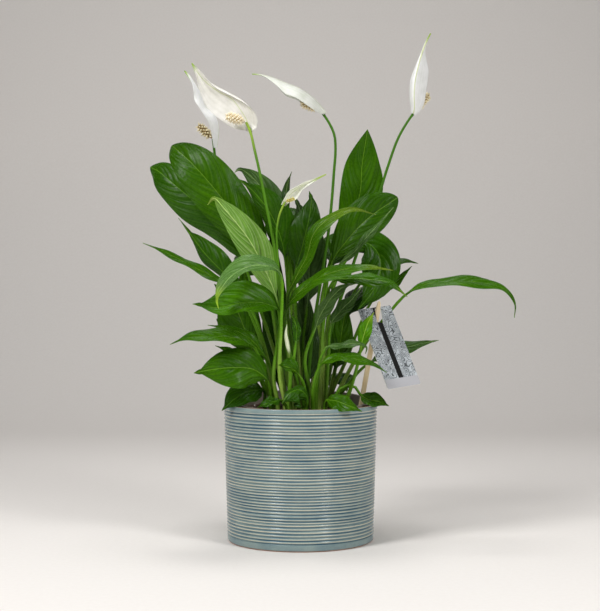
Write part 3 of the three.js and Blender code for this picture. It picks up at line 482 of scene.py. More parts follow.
@dataclass(frozen=True)
class LeafSkin:
    """Living leaf with a waxy cuticle: glossy above, paler and duller beneath.

    The blade grew quilted between sunken side veins, so light breaks along them, and the pale
    midrib runs down into a round, lighter stalk. Its colour also carries painted shade at the
    sunken veins and painted light on the swells between them.
    """

    tone: Tone
    side: Side
    # the ground colour is darker, as painted shade at the sunken veins, and the crest colour is lighter, as
    # painted light on the swells
    between: str
    crest: str
    vein: str
    rib: str
    stalk: str = "#5c901c"
    stalk_foot: str = "#a0ba58"
    # the yellow of ripening tips; on the lime leaf it is partly painted light
    ripe: str = "#9fbe30"
    roughness: float = 0.28
    rib_width: float = 0.42
    vein_depth: float = 0.4
    vein_width: float = 0.1

    def build(self) -> bpy.types.Material:
        """Returns the material."""
        upper = self.side is Side.UPPER
        paint = Paint(f"{self.tone.value}_{self.side.value}", IOR=1.4, Specular_IOR_Level=0.12,
                      Coat_Weight=0.07 if upper else 0.0, Coat_Roughness=0.18)
        add = paint.add
        place = add("TexCoord").outputs["Object"]
        number, _ = paint.marks("pattern")
        along, across = paint.marks("measure")
        # side veins lie at whole numbers of the pattern, finer ones at fifths of it
        gap = add("Math", number, 0.5, operation="PINGPONG")
        swell = add("MapRange", gap, 0.0, 0.5, interpolation_type="SMOOTHSTEP")
        line = add("MapRange", gap, 0.0, self.vein_width, self.vein_depth, 0.0)
        fine = add("Math", number, 5.0, operation="MULTIPLY")
        fine = add("Math", fine, 0.5, operation="PINGPONG")
        fine = add("MapRange", fine, 0.0, 0.5)
        patch = add("TexNoise", Vector=place, Scale=per_metre(26), Detail=3.0)
        mottle = add("TexNoise", Vector=place, Scale=per_metre(2.2), Detail=4.0)
        # how far a leaf is quilted changes over it
        uneven = add("MapRange", patch, 0.35, 0.65, 0.4, 1.0)
        swell = add("Math", swell, uneven, operation="MULTIPLY")
        # painted shade and light: the darker ground lies at the sunken veins and the lighter crest on the
        # swells between them, over patches of the leaf's own tone
        blend = add("Math", swell, 0.6, -0.14, operation="MULTIPLY_ADD")
        blend = add("Math", patch, 0.7, blend, operation="MULTIPLY_ADD")
        blend = add("Math", fine, 0.12, blend, operation="MULTIPLY_ADD", use_clamp=True)
        across = add("Math", across, operation="ABSOLUTE")
        rib = add("MapRange", across, self.rib_width, self.rib_width * 0.45)
        foot = add("MapRange", along, -40.0, -130.0)
        on_stalk = add("MapRange", along, 4.0, -5.0)
        yellow = add("Attribute", attribute_name="yellow").outputs["Fac"]
        colour = paint.coats(self.between, (blend, self.crest), (line, self.vein), (rib, self.rib),
                             (on_stalk, paint.coats(self.stalk, (foot, self.stalk_foot))),
                             (yellow, self.ripe))
        # the mottle is the leaf's own uneven tone; the tint attribute gives each leaf's lightness, which is
        # partly its own tone and partly painted shade and painted sheen
        lightness = add("MapRange", mottle, 0.3, 0.7, 0.93, 1.07)
        tint = add("Attribute", attribute_name="tint").outputs["Fac"]
        lightness = add("Math", lightness, tint, operation="MULTIPLY")
        gloss = add("MapRange", mottle, 0.3, 0.7, self.roughness - 0.05, self.roughness + 0.07)
        # veins are sunken above and stand out beneath
        height = add("Math", mottle, 0.4, operation="MULTIPLY")
        height = add("Math", swell, 1.1 if upper else -1.4, height, operation="MULTIPLY_ADD")
        height = add("Math", fine, 0.3, height, operation="MULTIPLY_ADD")
        return paint.finish(colour, (height, 0.7, 0.5), gloss, lightness)


LEAF_SKINS = (
    LeafSkin(Tone.DEEP, Side.UPPER, "#1a4200", "#355f06", "#4b7518", "#507c1a"),
    LeafSkin(Tone.DEEP, Side.UNDER, "#3d6612", "#527c1f", "#7c9c44", "#8fae58", roughness=0.5),
    LeafSkin(Tone.MID, Side.UPPER, "#224d00", "#427104", "#548218", "#648f22"),
    LeafSkin(Tone.MID, Side.UNDER, "#4a7516", "#618c28", "#88a94e", "#a3bf66", roughness=0.5),
    LeafSkin(Tone.BRIGHT, Side.UPPER, "#356f00", "#5c9608", "#72a420", "#9cc24a"),
    LeafSkin(Tone.BRIGHT, Side.UNDER, "#3a6a12", "#78a044", "#a9c47a", "#a9c474", roughness=0.4,
             vein_depth=0.5, vein_width=0.26),
    # the grey tone greys the green on both sides: painted sheen of a waxy leaf seen at a grazing angle
    LeafSkin(Tone.GREY, Side.UPPER, "#2e4f1a", "#507036", "#688648", "#7c9a58"),
    LeafSkin(Tone.GREY, Side.UNDER, "#486b34", "#5f8248", "#87a36c", "#9cb57e", roughness=0.5),
)


@dataclass(frozen=True)
class Tissue:
    """Soft plant tissue of one colour that shades into another along it, such as a stem.

    It grew in long cells, so its surface carries fine lines that run along it.
    """

    name: str
    start: str
    end: str
    turn: Pair
    roughness: float = 0.45
    lines: float = 0.6
    line_length: float = 7.5

    def build(self) -> bpy.types.Material:
        """Returns the material."""
        paint = Paint(self.name, IOR=1.42, Specular_IOR_Level=0.25)
        add = paint.add
        place = add("TexCoord").outputs["Object"]
        share, _ = paint.marks("pattern")
        along, across = paint.marks("measure")
        turn = add("MapRange", share, *self.turn, interpolation_type="SMOOTHSTEP")
        # the cells are drawn out along the stem
        shrunk = add("Math", along, self.lines / self.line_length, operation="MULTIPLY")
        cells = add("CombineXYZ", across, shrunk)
        grain = add("TexNoise", Vector=cells, Scale=1 / self.lines, Detail=3.0)
        patch = add("TexNoise", Vector=place, Scale=per_metre(9), Detail=3.0)
        shade = add("Math", grain, patch, operation="ADD")
        shade = add("MapRange", shade, 0.7, 1.3, 0.88, 1.1)
        gloss = add("MapRange", patch, 0.3, 0.7, self.roughness - 0.06, self.roughness + 0.08)
        colour = paint.coats(self.start, (turn, self.end))
        return paint.finish(colour, (grain, 0.3, 0.2), gloss, shade)


@dataclass(frozen=True)
class SpatheSkin:
    """The white bract of a bloom: soft matt tissue, waxy and a little see-through.

    Fine veins run along it. Its midrib and its drawn-out tip stay green.
    """

    name: str = "spathe_bract"
    white: str = "#f7f8f5"
    shade: str = "#e8eae5"
    rib: str = "#bcc68c"
    tip: str = "#86a531"
    tip_from: float = 0.84
    rib_width: float = 0.55
    veins: float = 11.0

    def build(self) -> bpy.types.Material:
        """Returns the material."""
        # plant tissue scatters green light as far as red, so its shadows don't redden as skin's do
        paint = Paint(self.name, IOR=1.4, Roughness=0.48, Subsurface_Weight=0.25,
                      Subsurface_Scale=3 * MM, Subsurface_Radius=(0.9, 1.0, 0.75),
                      Coat_Weight=0.08, Coat_Roughness=0.35)
        add = paint.add
        place = add("TexCoord").outputs["Object"]
        share, spread = paint.marks("pattern")
        _, across = paint.marks("measure")
        cloud = add("TexNoise", Vector=place, Scale=per_metre(8), Detail=3.0)
        veins = add("Math", spread, self.veins, operation="MULTIPLY")
        veins = add("Math", veins, 0.5, operation="PINGPONG")
        veins = add("MapRange", veins, 0.0, 0.35)
        shade = add("Math", veins, 0.12, cloud, operation="MULTIPLY_ADD")
        shade = add("MapRange", shade, 0.35, 0.75)
        across = add("Math", across, operation="ABSOLUTE")
        rib = add("MapRange", across, self.rib_width, self.rib_width * 0.4, 0.0, 0.85)
        tip = add("MapRange", share, self.tip_from, self.tip_from + 0.13,
                  interpolation_type="SMOOTHSTEP")
        colour = paint.coats(self.shade, (shade, self.white), (rib, self.rib), (tip, self.tip))
        return paint.finish(colour, (shade, 0.35, 0.2))


@dataclass(frozen=True)
class FloretSkin:
    """The florets of a spadix: pale dusty knobs that grew close together, with ochre between."""

    name: str
    knob: str = "#f4ead0"
    gap: str = "#ecd8a6"
    style: str = "#f7f0dc"
    height: float = 2.8

    def build(self) -> bpy.types.Material:
        """Returns the material."""
        paint = Paint(self.name, IOR=1.4, Roughness=0.6)
        add = paint.add
        place = add("TexCoord").outputs["Object"]
        level, _ = paint.marks("measure")
        rise = add("MapRange", level, 0.1, self.height * 0.5)
        end = add("MapRange", level, self.height * 0.8, self.height * 1.05, 0.0, 0.8)
        dust = add("TexNoise", Vector=place, Scale=per_metre(0.5), Detail=2.0)
        lightness = add("MapRange", dust, 0.3, 0.7, 0.85, 1.1)
        colour = paint.coats(self.gap, (rise, self.knob), (end, self.style))
        return paint.finish(colour, (dust, 0.3, 0.1), lightness=lightness)


@dataclass(frozen=True)
class RibGlaze:
    """Glazed stoneware, turned with ribs and dipped in a running blue-grey glaze.

    The glaze ran off the ribs, which break to cream, and pooled dark in the grooves. It is
    glass, so it is smooth and sharp in its highlights. The foot line was wiped bare.
    """

    name: str = "rib_glaze"
    glaze: str = "#768c90"
    glaze_light: str = "#8b9d9b"
    pooled: str = "#1d4a62"
    broken: str = "#dad2b8"
    bare_clay: str = "#b0714a"
    crest: float = 0.79  # share of a rib's pitch
    crest_width: float = 0.15
    groove: float = 0.3
    groove_width: float = 0.22
    rim_line: float = 1.3

    def build(self) -> bpy.types.Material:
        """Returns the material."""
        paint = Paint(self.name, IOR=1.5, Specular_IOR_Level=0.25, Coat_Weight=0.1,
                      Coat_Roughness=0.1)
        add = paint.add
        place = add("TexCoord").outputs["Object"]
        number, ribbed = paint.marks("pattern")
        from_edge, level = paint.marks("measure")
        # streaks run round the pot, so the noise is squeezed in height
        squeezed = add("Mapping", Vector=place, Scale=(1.0, 1.0, 22.0))
        streak = add("TexNoise", Vector=squeezed, Scale=per_metre(80), Detail=4.0)
        cloud = add("TexNoise", Vector=place, Scale=per_metre(18), Detail=3.0)
        speck = add("TexNoise", Vector=place, Scale=per_metre(1.1), Detail=2.0)
        part = add("Math", number, operation="FRACT")
        masks = []
        for middle, width, faint, full in ((self.crest, self.crest_width, 0.36, 0.6),
                                           (self.groove, self.groove_width, 0.62, 0.4)):
            away = add("Math", part, middle, operation="SUBTRACT")
            away = add("Math", away, operation="ABSOLUTE")
            near = add("MapRange", away, width, width * 0.35, interpolation_type="SMOOTHSTEP")
            near = add("Math", near, ribbed, operation="MULTIPLY")
            strength = add("MapRange", streak, faint, full, 0.35, 1.0)
            masks.append(add("Math", near, strength, operation="MULTIPLY"))
        crest, pool = masks
        tint = add("MapRange", cloud, 0.35, 0.65)
        # the glaze is thin on the rim's edge, where the iron in the clay shows through
        thin = add("MapRange", from_edge, self.rim_line, 0.2, 0.0, 0.85)
        bare = add("MapRange", level, 1.1, 0.6)
        colour = paint.coats(self.glaze, (tint, self.glaze_light), (pool, self.pooled),
                             (crest, self.broken), (thin, self.bare_clay), (bare, self.bare_clay))
        lightness = add("MapRange", speck, 0.3, 0.7, 0.94, 1.05)
        gloss = add("Math", bare, 0.5, 0.24, operation="MULTIPLY_ADD")
        height = add("Math", streak, 0.5, speck, operation="MULTIPLY_ADD")
        return paint.finish(colour, (height, 0.12, 0.3), gloss, lightness)


@dataclass(frozen=True)
class Speckled:
    """A plain stuff whose colour wanders between two shades at one real size of grain.

    It serves moulded plastic, crumbled soil, perlite and card.
    """

    name: str
    low: str
    high: str
    grain: float
    roughness: float
    relief: float

    def build(self) -> bpy.types.Material:
        """Returns the material."""
        paint = Paint(self.name, IOR=1.5)
        add = paint.add
        place = add("TexCoord").outputs["Object"]
        grain = add("TexNoise", Vector=place, Scale=per_metre(self.grain), Detail=5.0,
                    Roughness=0.65)
        share = add("MapRange", grain, 0.35, 0.65)
        gloss = add("MapRange", grain, 0.3, 0.7, self.roughness - 0.06, self.roughness + 0.06)
        colour = paint.coats(self.low, (share, self.high))
        return paint.finish(colour, (grain, self.relief, 0.3), gloss)


@dataclass(frozen=True)
class StickWood:
    """Birch, split and sanded: pale, with fine grain along it and a few brown flecks."""

    name: str = "birch_stick"
    pale: str = "#f0deba"
    grain: str = "#dabb88"
    fleck: str = "#8a6134"
    grain_width: float = 0.7
    grain_length: float = 16.0

    def build(self) -> bpy.types.Material:
        """Returns the material."""
        paint = Paint(self.name, IOR=1.5, Roughness=0.62)
        add = paint.add
        size = (1 / self.grain_length, 1 / self.grain_width, 1.0)
        place = add("Mapping", Vector=add("UVMap", uv_map="measure"), Scale=size)
        fibres = add("TexNoise", Vector=place, Scale=1.0, Detail=5.0)
        share = add("MapRange", fibres, 0.4, 0.7)
        spots = add("TexNoise", Vector=place, Scale=0.6, Detail=1.0)
        spots = add("MapRange", spots, 0.68, 0.76, 0.0, 0.7)
        colour = paint.coats(self.pale, (share, self.grain), (spots, self.fleck))
        return paint.finish(colour, (fibres, 0.35, 0.2))


@dataclass(frozen=True)
class PrintedCard:
    """Uncoated card printed in greys: fine contour lines on a pale ground, and a dark stripe.

    The lines are a generic pattern. Their real spacing of about 0.6 mm is drawn as about 2 mm,
    so that they show in a render.
    """

    name: str = "printed_card"
    ground: str = "#bac0c4"
    ink: str = "#34383a"
    wash: str = "#888e92"
    stripe: str = "#121110"
    # the plain band at the card's foot is painted darker than the bare card: painted shade
    plain: str = "#aeaeb2"
    stripe_width: float = 5.2
    hill: float = 10.0
    contours: float = 14.0
    wash_size: float = 6.0
    fibre_size: float = 1 / 3
    band_from: float = 70.0
    edge: float = 0.15

    def build(self) -> bpy.types.Material:
        """Returns the material."""
        paint = Paint(self.name, IOR=1.5, Roughness=0.7, Specular_IOR_Level=0.2)
        add = paint.add
        measure = add("UVMap", uv_map="measure")
        along, across = paint.marks("measure")
        level = add("TexNoise", Vector=measure, Scale=1 / self.hill, Detail=1.0)
        level = add("Math", level, self.contours, operation="MULTIPLY")
        level = add("Math", level, 0.5, operation="PINGPONG")
        line = add("MapRange", level, 0.22, 0.1, 0.0, 0.85)
        soft = add("TexNoise", Vector=measure, Scale=1 / self.wash_size, Detail=3.0)
        soft = add("MapRange", soft, 0.42, 0.66, 0.0, 0.8)
        away = add("Math", across, operation="ABSOLUTE")
        half = self.stripe_width / 2
        stripe = add("MapRange", away, half, half - self.edge)
        # the plain band at the foot, in painted shade
        band = add("MapRange", along, self.band_from, self.band_from + self.edge)
        colour = paint.coats(self.ground, (soft, self.wash), (line, self.ink),
                             (stripe, self.stripe), (band, self.plain))
        fibre = add("TexNoise", Vector=measure, Scale=1 / self.fibre_size, Detail=4.0)
        return paint.finish(colour, (fibre, 0.2, 0.1))


# ---- the pots and the soil ----
@dataclass
class GlazedPot:
    """The outer pot: a plain rim and foot, and turned ribs between them."""

    height: float = 125.0
    rim_radius: float = 70.8
    foot_radius: float = 67.3
    wall: float = 4.8
    floor: float = 6.0
    ribs: int = 42
    rib_depth: float = 0.8
    rim_band: float = 3.5
    foot_band: float = 6.0
    edge: float = 2.5
    lip: float = 1.2
    around: int = 160
    seed: int = 5

    WIDTHS = (0.84, 1.16)  # of the ribs, as shares of the usual one
    DEPTHS = (0.6, 1.15)
    RIM_EDGE = slice(-11, -3)  # rows of the rim's flat top and both its edges
    FAR = 9.0  # from the rim's edge
    DRIFT = (0.08, 0.05)  # how far a rib wanders up and down, once and three times round
    PHASE = 1.7
    # one rib from groove to crest: share of the pitch, share of the depth
    RIB = ((0.02, 0.55), (0.16, 0.95), (0.3, 1.0), (0.44, 0.9), (0.57, 0.45), (0.68, 0.1),
           (0.79, 0.0), (0.9, 0.12))

    def _outer(self, z: float) -> float:
        """Returns the outer radius at a height, without the ribs."""
        return mix((self.foot_radius, self.rim_radius), z / self.height)

    def _arc(self, centre: Pair, radius: float, start: float, end: float) -> list[Pair]:
        """Returns six points of an arc between two angles in degrees."""
        angles = np.radians(np.linspace(start, end, 6))
        return [(centre[0] + radius * math.cos(a), centre[1] + radius * math.sin(a)) for a in angles]

    def _rows(self) -> list[tuple[float, float, float, float]]:
        """Runs the profile up the outside, over the rim and down to the floor inside.

        Returns:
            Radius, height, place in the ribs, and 1 where it is ribbed, for each row.
        """
        chance = random.Random(self.seed)
        edge, lip, rim = self.edge, self.lip, self.rim_radius
        top, inside = self.height - self.rim_band, self.foot_radius - self.wall
        below = [(1.0, 0.0), *self._arc((self.foot_radius - edge, edge), edge, -90, 0),
                 (self._outer(self.foot_band), self.foot_band)]
        above = [(rim, top), (rim, self.height - lip - 1),
                 *self._arc((rim - lip, self.height - lip), lip, 0, 90),
                 *self._arc((rim - self.wall + lip, self.height - lip), lip, 90, 180),
                 (inside, self.floor + 2), (inside - 2, self.floor), (1.0, self.floor)]
        widths = [chance.uniform(*self.WIDTHS) for _ in range(self.ribs)]
        pitch = (top - self.foot_band) / sum(widths)
        z = self.foot_band
        ribs = []
        for number, width in enumerate(widths):
            depth = self.rib_depth * chance.uniform(*self.DEPTHS)
            for share, deep in self.RIB:
                height = z + share * width * pitch
                ribs.append((self._outer(height) - depth * deep, height, number + share, 1.0))
            z += width * pitch
        plain_below, plain_above = [[(*row, 0.0, 0.0) for row in part] for part in (below, above)]
        return plain_below + ribs + plain_above

    def build(self) -> None:
        """Makes the pot, with ribs that wander a little as they run round it."""
        radii, heights, place, ribbed = np.array(self._rows()).T
        from_edge = np.full(len(radii), self.FAR)
        from_edge[self.RIM_EDGE] = 0.0
        marks = np.stack([place, ribbed, from_edge, heights], axis=1)
        draft = Draft()
        turned(draft, list(zip(radii, heights)), marks, self.around)
        points = draft.points[0]
        angles = np.arctan2(points[:, 1], points[:, 0])
        phase = draft.marks[0][:, 0] // 1 * self.PHASE
        once, thrice = self.DRIFT
        drift = once * np.sin(angles + phase) + thrice * np.sin(3 * angles - phase)
        points[:, 2] += drift * draft.marks[0][:, 1]
        draft.dress("glazed_pot", [RibGlaze().build()], "ceramic_pot", 60)


@dataclass
class NurseryPot:
    """The plastic pot inside, tilted to the back, and the soil in it."""

    height: float = 118.0
    rim_radius: float = 64.2
    wall_radius: float = 62.2
    base_radius: float = 49.0
    wall: float = 1.3
    lip: float = 5.0
    tilt: float = math.radians(4.6)
    rim_middle: float = 128.6
    lean: float = 1.2
    soil_top: float = 118.0
    lump: float = 1.6
    lumps: float = 0.22  # in a millimetre
    rings: int = 26  # of points on the soil's top
    crumbs: int = 900
    crumb: Pair = (0.4, 1.9)
    perlite: int = 60
    grain: Pair = (0.5, 1.2)
    around: int = 120
    seed: int = 11

    def ground(self, y: float) -> float:
        """Returns the height of the soil's top at a depth in the part's frame."""
        return self.soil_top + y * math.tan(self.tilt)

    def _tilted(self, points: np.ndarray) -> np.ndarray:
        """Turns points from the pot's own frame into the part's.

        Args:
            points: The points, one a row, from the middle of the rim.

        Returns:
            The points in the part's frame.
        """
        x, y, z = points.T
        cosine, sine = math.cos(self.tilt), math.sin(self.tilt)
        return np.stack([x, y * cosine - z * sine + self.lean,
                         y * sine + z * cosine + self.rim_middle], axis=1)

    def build_pot(self) -> None:
        """Makes the thin tapered cup with its rolled lip, whose edges are eased a little."""
        rim, wall, base = self.rim_radius, self.wall_radius, self.base_radius
        rows = [(1.0, -self.height), (base - 1, -self.height), (base, 1 - self.height),
                (wall, -self.lip - 0.4), (wall + 0.3, -self.lip), (rim - 0.3, -self.lip),
                (rim, 0.4 - self.lip), (rim, -0.5), (rim - 0.5, 0.0), (wall - self.wall + 0.4, 0.0),
                (wall - self.wall, -0.4), (base - self.wall, self.wall - self.height),
                (1.0, self.wall - self.height)]
        draft = Draft()
        turned(draft, rows, np.zeros((len(rows), 4)), self.around)
        draft.points = [self._tilted(points) for points in draft.points]
        # injection-moulded polypropylene in a taupe tint: dull, with faint flow marks
        finish = Speckled("moulded_polypropylene", "#6f655c", "#857a70", 6.0, 0.5, 0.12)
        draft.dress("plastic_pot", [finish.build()], "nursery_pot", 40)

    def _cavity(self, depth: float) -> float:
        """Returns the inner radius at a depth below the rim."""
        return mix((self.wall_radius, self.base_radius), depth / self.height) - self.wall

    def _crumb(self, draft: Draft, centre: np.ndarray, size: float, chance: random.Random,
               slot: int) -> None:
        """Adds one rough lump to the soil.

        Args:
            draft: The soil's mesh.
            centre: Its middle.
            size: Its radius.
            chance: Where its random draws come from.
            slot: Its finish.
        """
        corners = [(1, 0, 0), (0, 1, 0), (-1, 0, 0), (0, -1, 0), (0, 0, 1), (0, 0, -1)]
        rough = [size * np.array(c) * chance.uniform(0.6, 1.2) for c in corners]
        turn = Vector((chance.uniform(-1, 1), chance.uniform(-1, 1), 1)).to_track_quat("Z", "Y")
        placed = [np.array(turn @ Vector(c)) + centre for c in rough]
        first = draft.add_points(np.array(placed), np.zeros((6, 4)))
        for i in range(4):
            after = (i + 1) % 4
            draft.add_face((first + i, first + after, first + 4), slot)
            draft.add_face((first + after, first + i, first + 5), slot)

    def build_soil(self) -> None:
        """Makes the plug of soil, with a lumpy top, crumbs, bark and white grains on it."""
        chance = random.Random(self.seed)
        top = self.rim_middle - self.soil_top
        low = self.height - self.wall - 2 * FIT
        radius = self._cavity(top) - 0.5
        rows = [(1.0, -low), (self._cavity(low) - 2 * FIT, -low), (radius, -top)]
        rows += [(radius * i / self.rings, -top) for i in range(self.rings - 1, 0, -1)]
        draft = Draft()
        turned(draft, rows, np.zeros((len(rows), 4)), self.around)
        points = draft.points[0]
        for point in points:
            if point[2] > -top - 1 and math.hypot(point[0], point[1]) < radius - 0.5:
                point[2] += self.lump * noise.fractal(Vector(point) * self.lumps, 1.0, 2.0, 4)
        draft.points = [self._tilted(rows) for rows in draft.points]
        for number in range(self.crumbs + self.perlite):
            white = number >= self.crumbs
            reach = (radius - 3) * math.sqrt(chance.random())
            angle = chance.uniform(0, 2 * math.pi)
            size = chance.uniform(*self.grain) if white else chance.uniform(*self.crumb) ** 1.4
            spot = np.array([[reach * math.cos(angle), reach * math.sin(angle), -top + 0.3]])
            self._crumb(draft, self._tilted(spot)[0], size, chance, 1 if white else 2)
        finishes = [
            # peat and coir, moist: dark, matt and crumbly
            Speckled("peat_soil", "#1d140e", "#3b2a1e", 3.0, 0.92, 0.9).build(),
            # perlite: volcanic glass puffed into white grains
            Speckled("perlite", "#cfcac0", "#efece4", 0.8, 0.8, 0.5).build(),
            # bark and peat crumbs, a little drier than the bed
            Speckled("bark_crumbs", "#2c1e14", "#5a4230", 1.6, 0.9, 0.7).build(),
        ]
        draft.dress("potting_soil", finishes, "soil", 30)


# ---- leaves ----
ROOT_DEPTH = 11.0
FOOT_RISES = (0.0, 14.0, 20.0)
NURSERY = NurseryPot()


def stalk_path(root: Pair, points: Sequence[Triple]) -> Spline:
    """Runs a curve from a hole in the soil through seen points.

    Args:
        root: Where its foot stands.
        points: The seen points after the straight foot.

    Returns:
        The curve.
    """
    foot = NURSERY.ground(root[1]) - ROOT_DEPTH
    feet = [np.array([root[0], root[1], foot + rise]) for rise in FOOT_RISES]
    return Spline([*feet, *map(seen, points)])


@dataclass(frozen=True)
class Station:
    """A place along a leaf: its midrib's point, direction and radius there."""

    centre: np.ndarray
    along: np.ndarray
    radius: float
    t: float  # the share along the blade, or 0 on the stalk
    length: float  # of the whole blade


@dataclass
class Leaf:
    """A leaf: a stalk from its hole that opens into a thin blade folded along its midrib.

    `rib` runs from the blade's base to its tip. `half` is the full half-width to the left and
    right of it, as it travels to the tip. `roll` turns each half away from the front (plus) or
    towards it (minus), in degrees, and `unroll` is what comes to that by the tip.
    """

    node: str
    root: Pair
    stalk: Sequence[Triple]
    rib: Sequence[Triple]
    half: Pair
    roll: Pair = (10, 10)
    tone: Tone = Tone.MID
    face: int = 1
    peak: float = 0.42
    tail: float = 0.07
    fullness: float = 0.85
    phase: float = 0.0
    side: Triple | None = None
    unroll: Pair = (0, 0)

    THICKNESS = 0.5
    DRIP = 0.13  # share of the width at the drawn-out tip
    OPENING = 0.14  # share of the blade over which the stalk opens into it
    ARCH = 0.07  # of each half, as a share of its width
    FOOT = 2.0
    NECK = 1.2
    SHEATH = 1.6
    TAPER = 0.75
    KNEE = (0.14, 0.96, 0.035)  # how much the stalk swells, where, and over which share of it
    SHOULDER = (0.14, 1.3)  # where the midrib ends: at most, and in its own radii
    SUNK, PROUD = 0.45, 0.8  # the midrib above and beneath, in its radii
    THIN = 0.75  # what the blade loses towards its margin
    VEIN_GAP = 13.0  # along the midrib, on a large blade
    VEIN_SWEEP = 2.2  # how far a vein runs forward to the margin, in half-widths
    LONG_SWEEPS = {"leaf_left_striped": 3.6, "leaf_front_arch": 3.0, "leaf_centre_lime": 3.0}
    UNEVEN = 0.2  # in vein gaps
    VEIN_BEND = 1.4
    QUILT = 0.46
    QUILT_ROWS = (1.6, 3.4)  # rows of points a vein needs, at least and for full quilting
    QUILT_START, QUILT_END = (0.04, 0.2), (0.82, 1.0)
    VALLEY = 0.7  # below 1, veins are narrower than the swells between them
    WAVE = 1.2
    WAVES = 2.5  # of the margin, along the blade
    STALK_STEP = 8.0  # between rings of the stalk
    STALK_RINGS = 8  # at least
    VEINS, VEIN_RINGS = 4, 9  # the fewest that a blade has, and the rings for each
    LAST = 0.12  # from the last ring to the tip, in steps
    ACROSS = (1.0, 0.93, 0.86, 0.78, 0.7, 0.62, 0.54, 0.46, 0.38, 0.3, 0.22, 0.15, 0.08)

    def share_of_width(self, t: float) -> float:
        """Finds how wide the blade is, as its outline swells and draws in to the tip.

        Args:
            t: The share along the blade.

        Returns:
            The share of its full half-width.
        """
        end = 1 - self.tail
        power = math.log(0.5) / math.log(self.peak / end)
        body = math.sin(math.pi * min(t / end, 1) ** power)
        drawn_out = self.tail > 0 and t > self.peak
        drip = self.DRIP * min(1, (1 - t) / self.tail) if drawn_out else 0
        return max(max(body, 0) ** self.fullness, drip)

    def _reaches(self, at: Station) -> list[np.ndarray]:
        """Finds the margins.

        Args:
            at: The place along the leaf.

        Returns:
            The vectors from the midrib to the left and to the right margin.
        """
        side, away = cross_axes(at.along, self.side)
        share = self.share_of_width(at.t)
        reaches = []
        for number, sign in ((0, 1), (1, -1)):
            turn = math.radians(self.roll[number] + self.unroll[number] * at.t)
            direction = side * sign * math.cos(turn) + away * math.sin(turn)
            length = max(self.half[number] * share, at.radius * 0.9)
            normal = np.cross(at.along, direction) * sign
            ripple = math.sin(2 * math.pi * self.WAVES * at.t + self.phase + number * 2)
            lift = self.WAVE * ripple * share if at.t > 0 else 0
            reaches.append(direction * length + normal * lift)
        return reaches

    def _vein_gap(self, length: float) -> float:
        """Returns the spacing of side veins, which small blades have closer together."""
        return self.VEIN_GAP * min(1.0, 0.45 + length / 160)

    def _quilting(self, at: Station, v: np.ndarray, sign: int) -> tuple[np.ndarray, np.ndarray]:
        """Finds the side veins, and how the blade swells between them.

        Args:
            at: The place along the leaf.
            v: Shares of the way from the midrib to the margin.
            sign: 1 on the left half, -1 on the right one.

        Returns:
            For each share, its number in the row of veins, and its height.
        """
        gap = self._vein_gap(at.length)
        run = self.LONG_SWEEPS.get(self.node, self.VEIN_SWEEP) * max(self.half)
        vein = at.t * at.length / gap - run * v ** self.VEIN_BEND / gap
        vein = vein + self.UNEVEN * np.sin(2.4 * vein + self.phase + 2 * sign)
        quilt = self.QUILT * ease(len(self.ACROSS) * gap / run, *self.QUILT_ROWS)
        quilt *= ease(at.t, *self.QUILT_START) * (1 - ease(at.t, *self.QUILT_END))
        valley = 2 * np.abs(np.sin(math.pi * vein)) ** self.VALLEY - 1
        return vein, quilt * valley * ease(v, 0.02, 0.2) * (1 - ease(v, 0.75, 1.0))

    def _half(self, at: Station, reach: np.ndarray, sign: int) -> list[np.ndarray]:
        """Makes one half of a ring, from the margin in to the midrib.

        Args:
            at: The place along the leaf.
            reach: The vector from the midrib to the margin.
            sign: 1 on the left half, -1 on the right one.

        Returns:
            Its front points, its back points, and their marks.
        """
        size = np.linalg.norm(reach)
        shoulder = min(self.SHOULDER[0], self.SHOULDER[1] * at.radius / size)
        v = np.array([shoulder + (1 - shoulder) * a for a in self.ACROSS]
                     + [shoulder, shoulder / 2, 0.0])
        normal = unit(np.cross(at.along, reach)) * sign
        vein, swell = self._quilting(at, v, sign)
        middle = self.ARCH * 4 * v * (1 - v) * size + swell
        body = self.THICKNESS / 2 * (1 - self.THIN * v ** 4)
        body[0] = 0.0
        flat = at.centre + v[:, None] * reach + (self.face * middle)[:, None] * normal
        ridge = np.exp(-(v * size / max(at.radius, 0.3)) ** 2)
        upper = body - self.SUNK * at.radius * ridge * ease(at.t, 0.02, 0.15)
        under = body + at.radius * self.PROUD * ridge
        ahead, behind = (upper, under) if self.face > 0 else (under, upper)
        marks = [vein, v * sign, np.full(len(v), at.t * at.length), v * size * sign]
        return [flat + ahead[:, None] * normal, flat - behind[:, None] * normal,
                np.stack(marks, axis=1)]

    def _ring(self, at: Station) -> tuple[np.ndarray, np.ndarray]:
        """Makes one ring of the leaf.

        Args:
            at: The place along it.

        Returns:
            The ring's points and their marks.
        """
        left, right = self._reaches(at)
        halves = zip(self._half(at, left, 1), self._half(at, right, -1))
        front, back, marks = [np.vstack([one, other[-2::-1]]) for one, other in halves]
        blade = np.vstack([front, back[-2:0:-1]])
        across = unit(left - right)
        stalk = at.centre + at.radius * hoop(len(blade), across, unit(np.cross(at.along, across)))
        opened = ease(at.t, 0, self.OPENING)
        return stalk + (blade - stalk) * opened, np.vstack([marks, marks[-2:0:-1]])

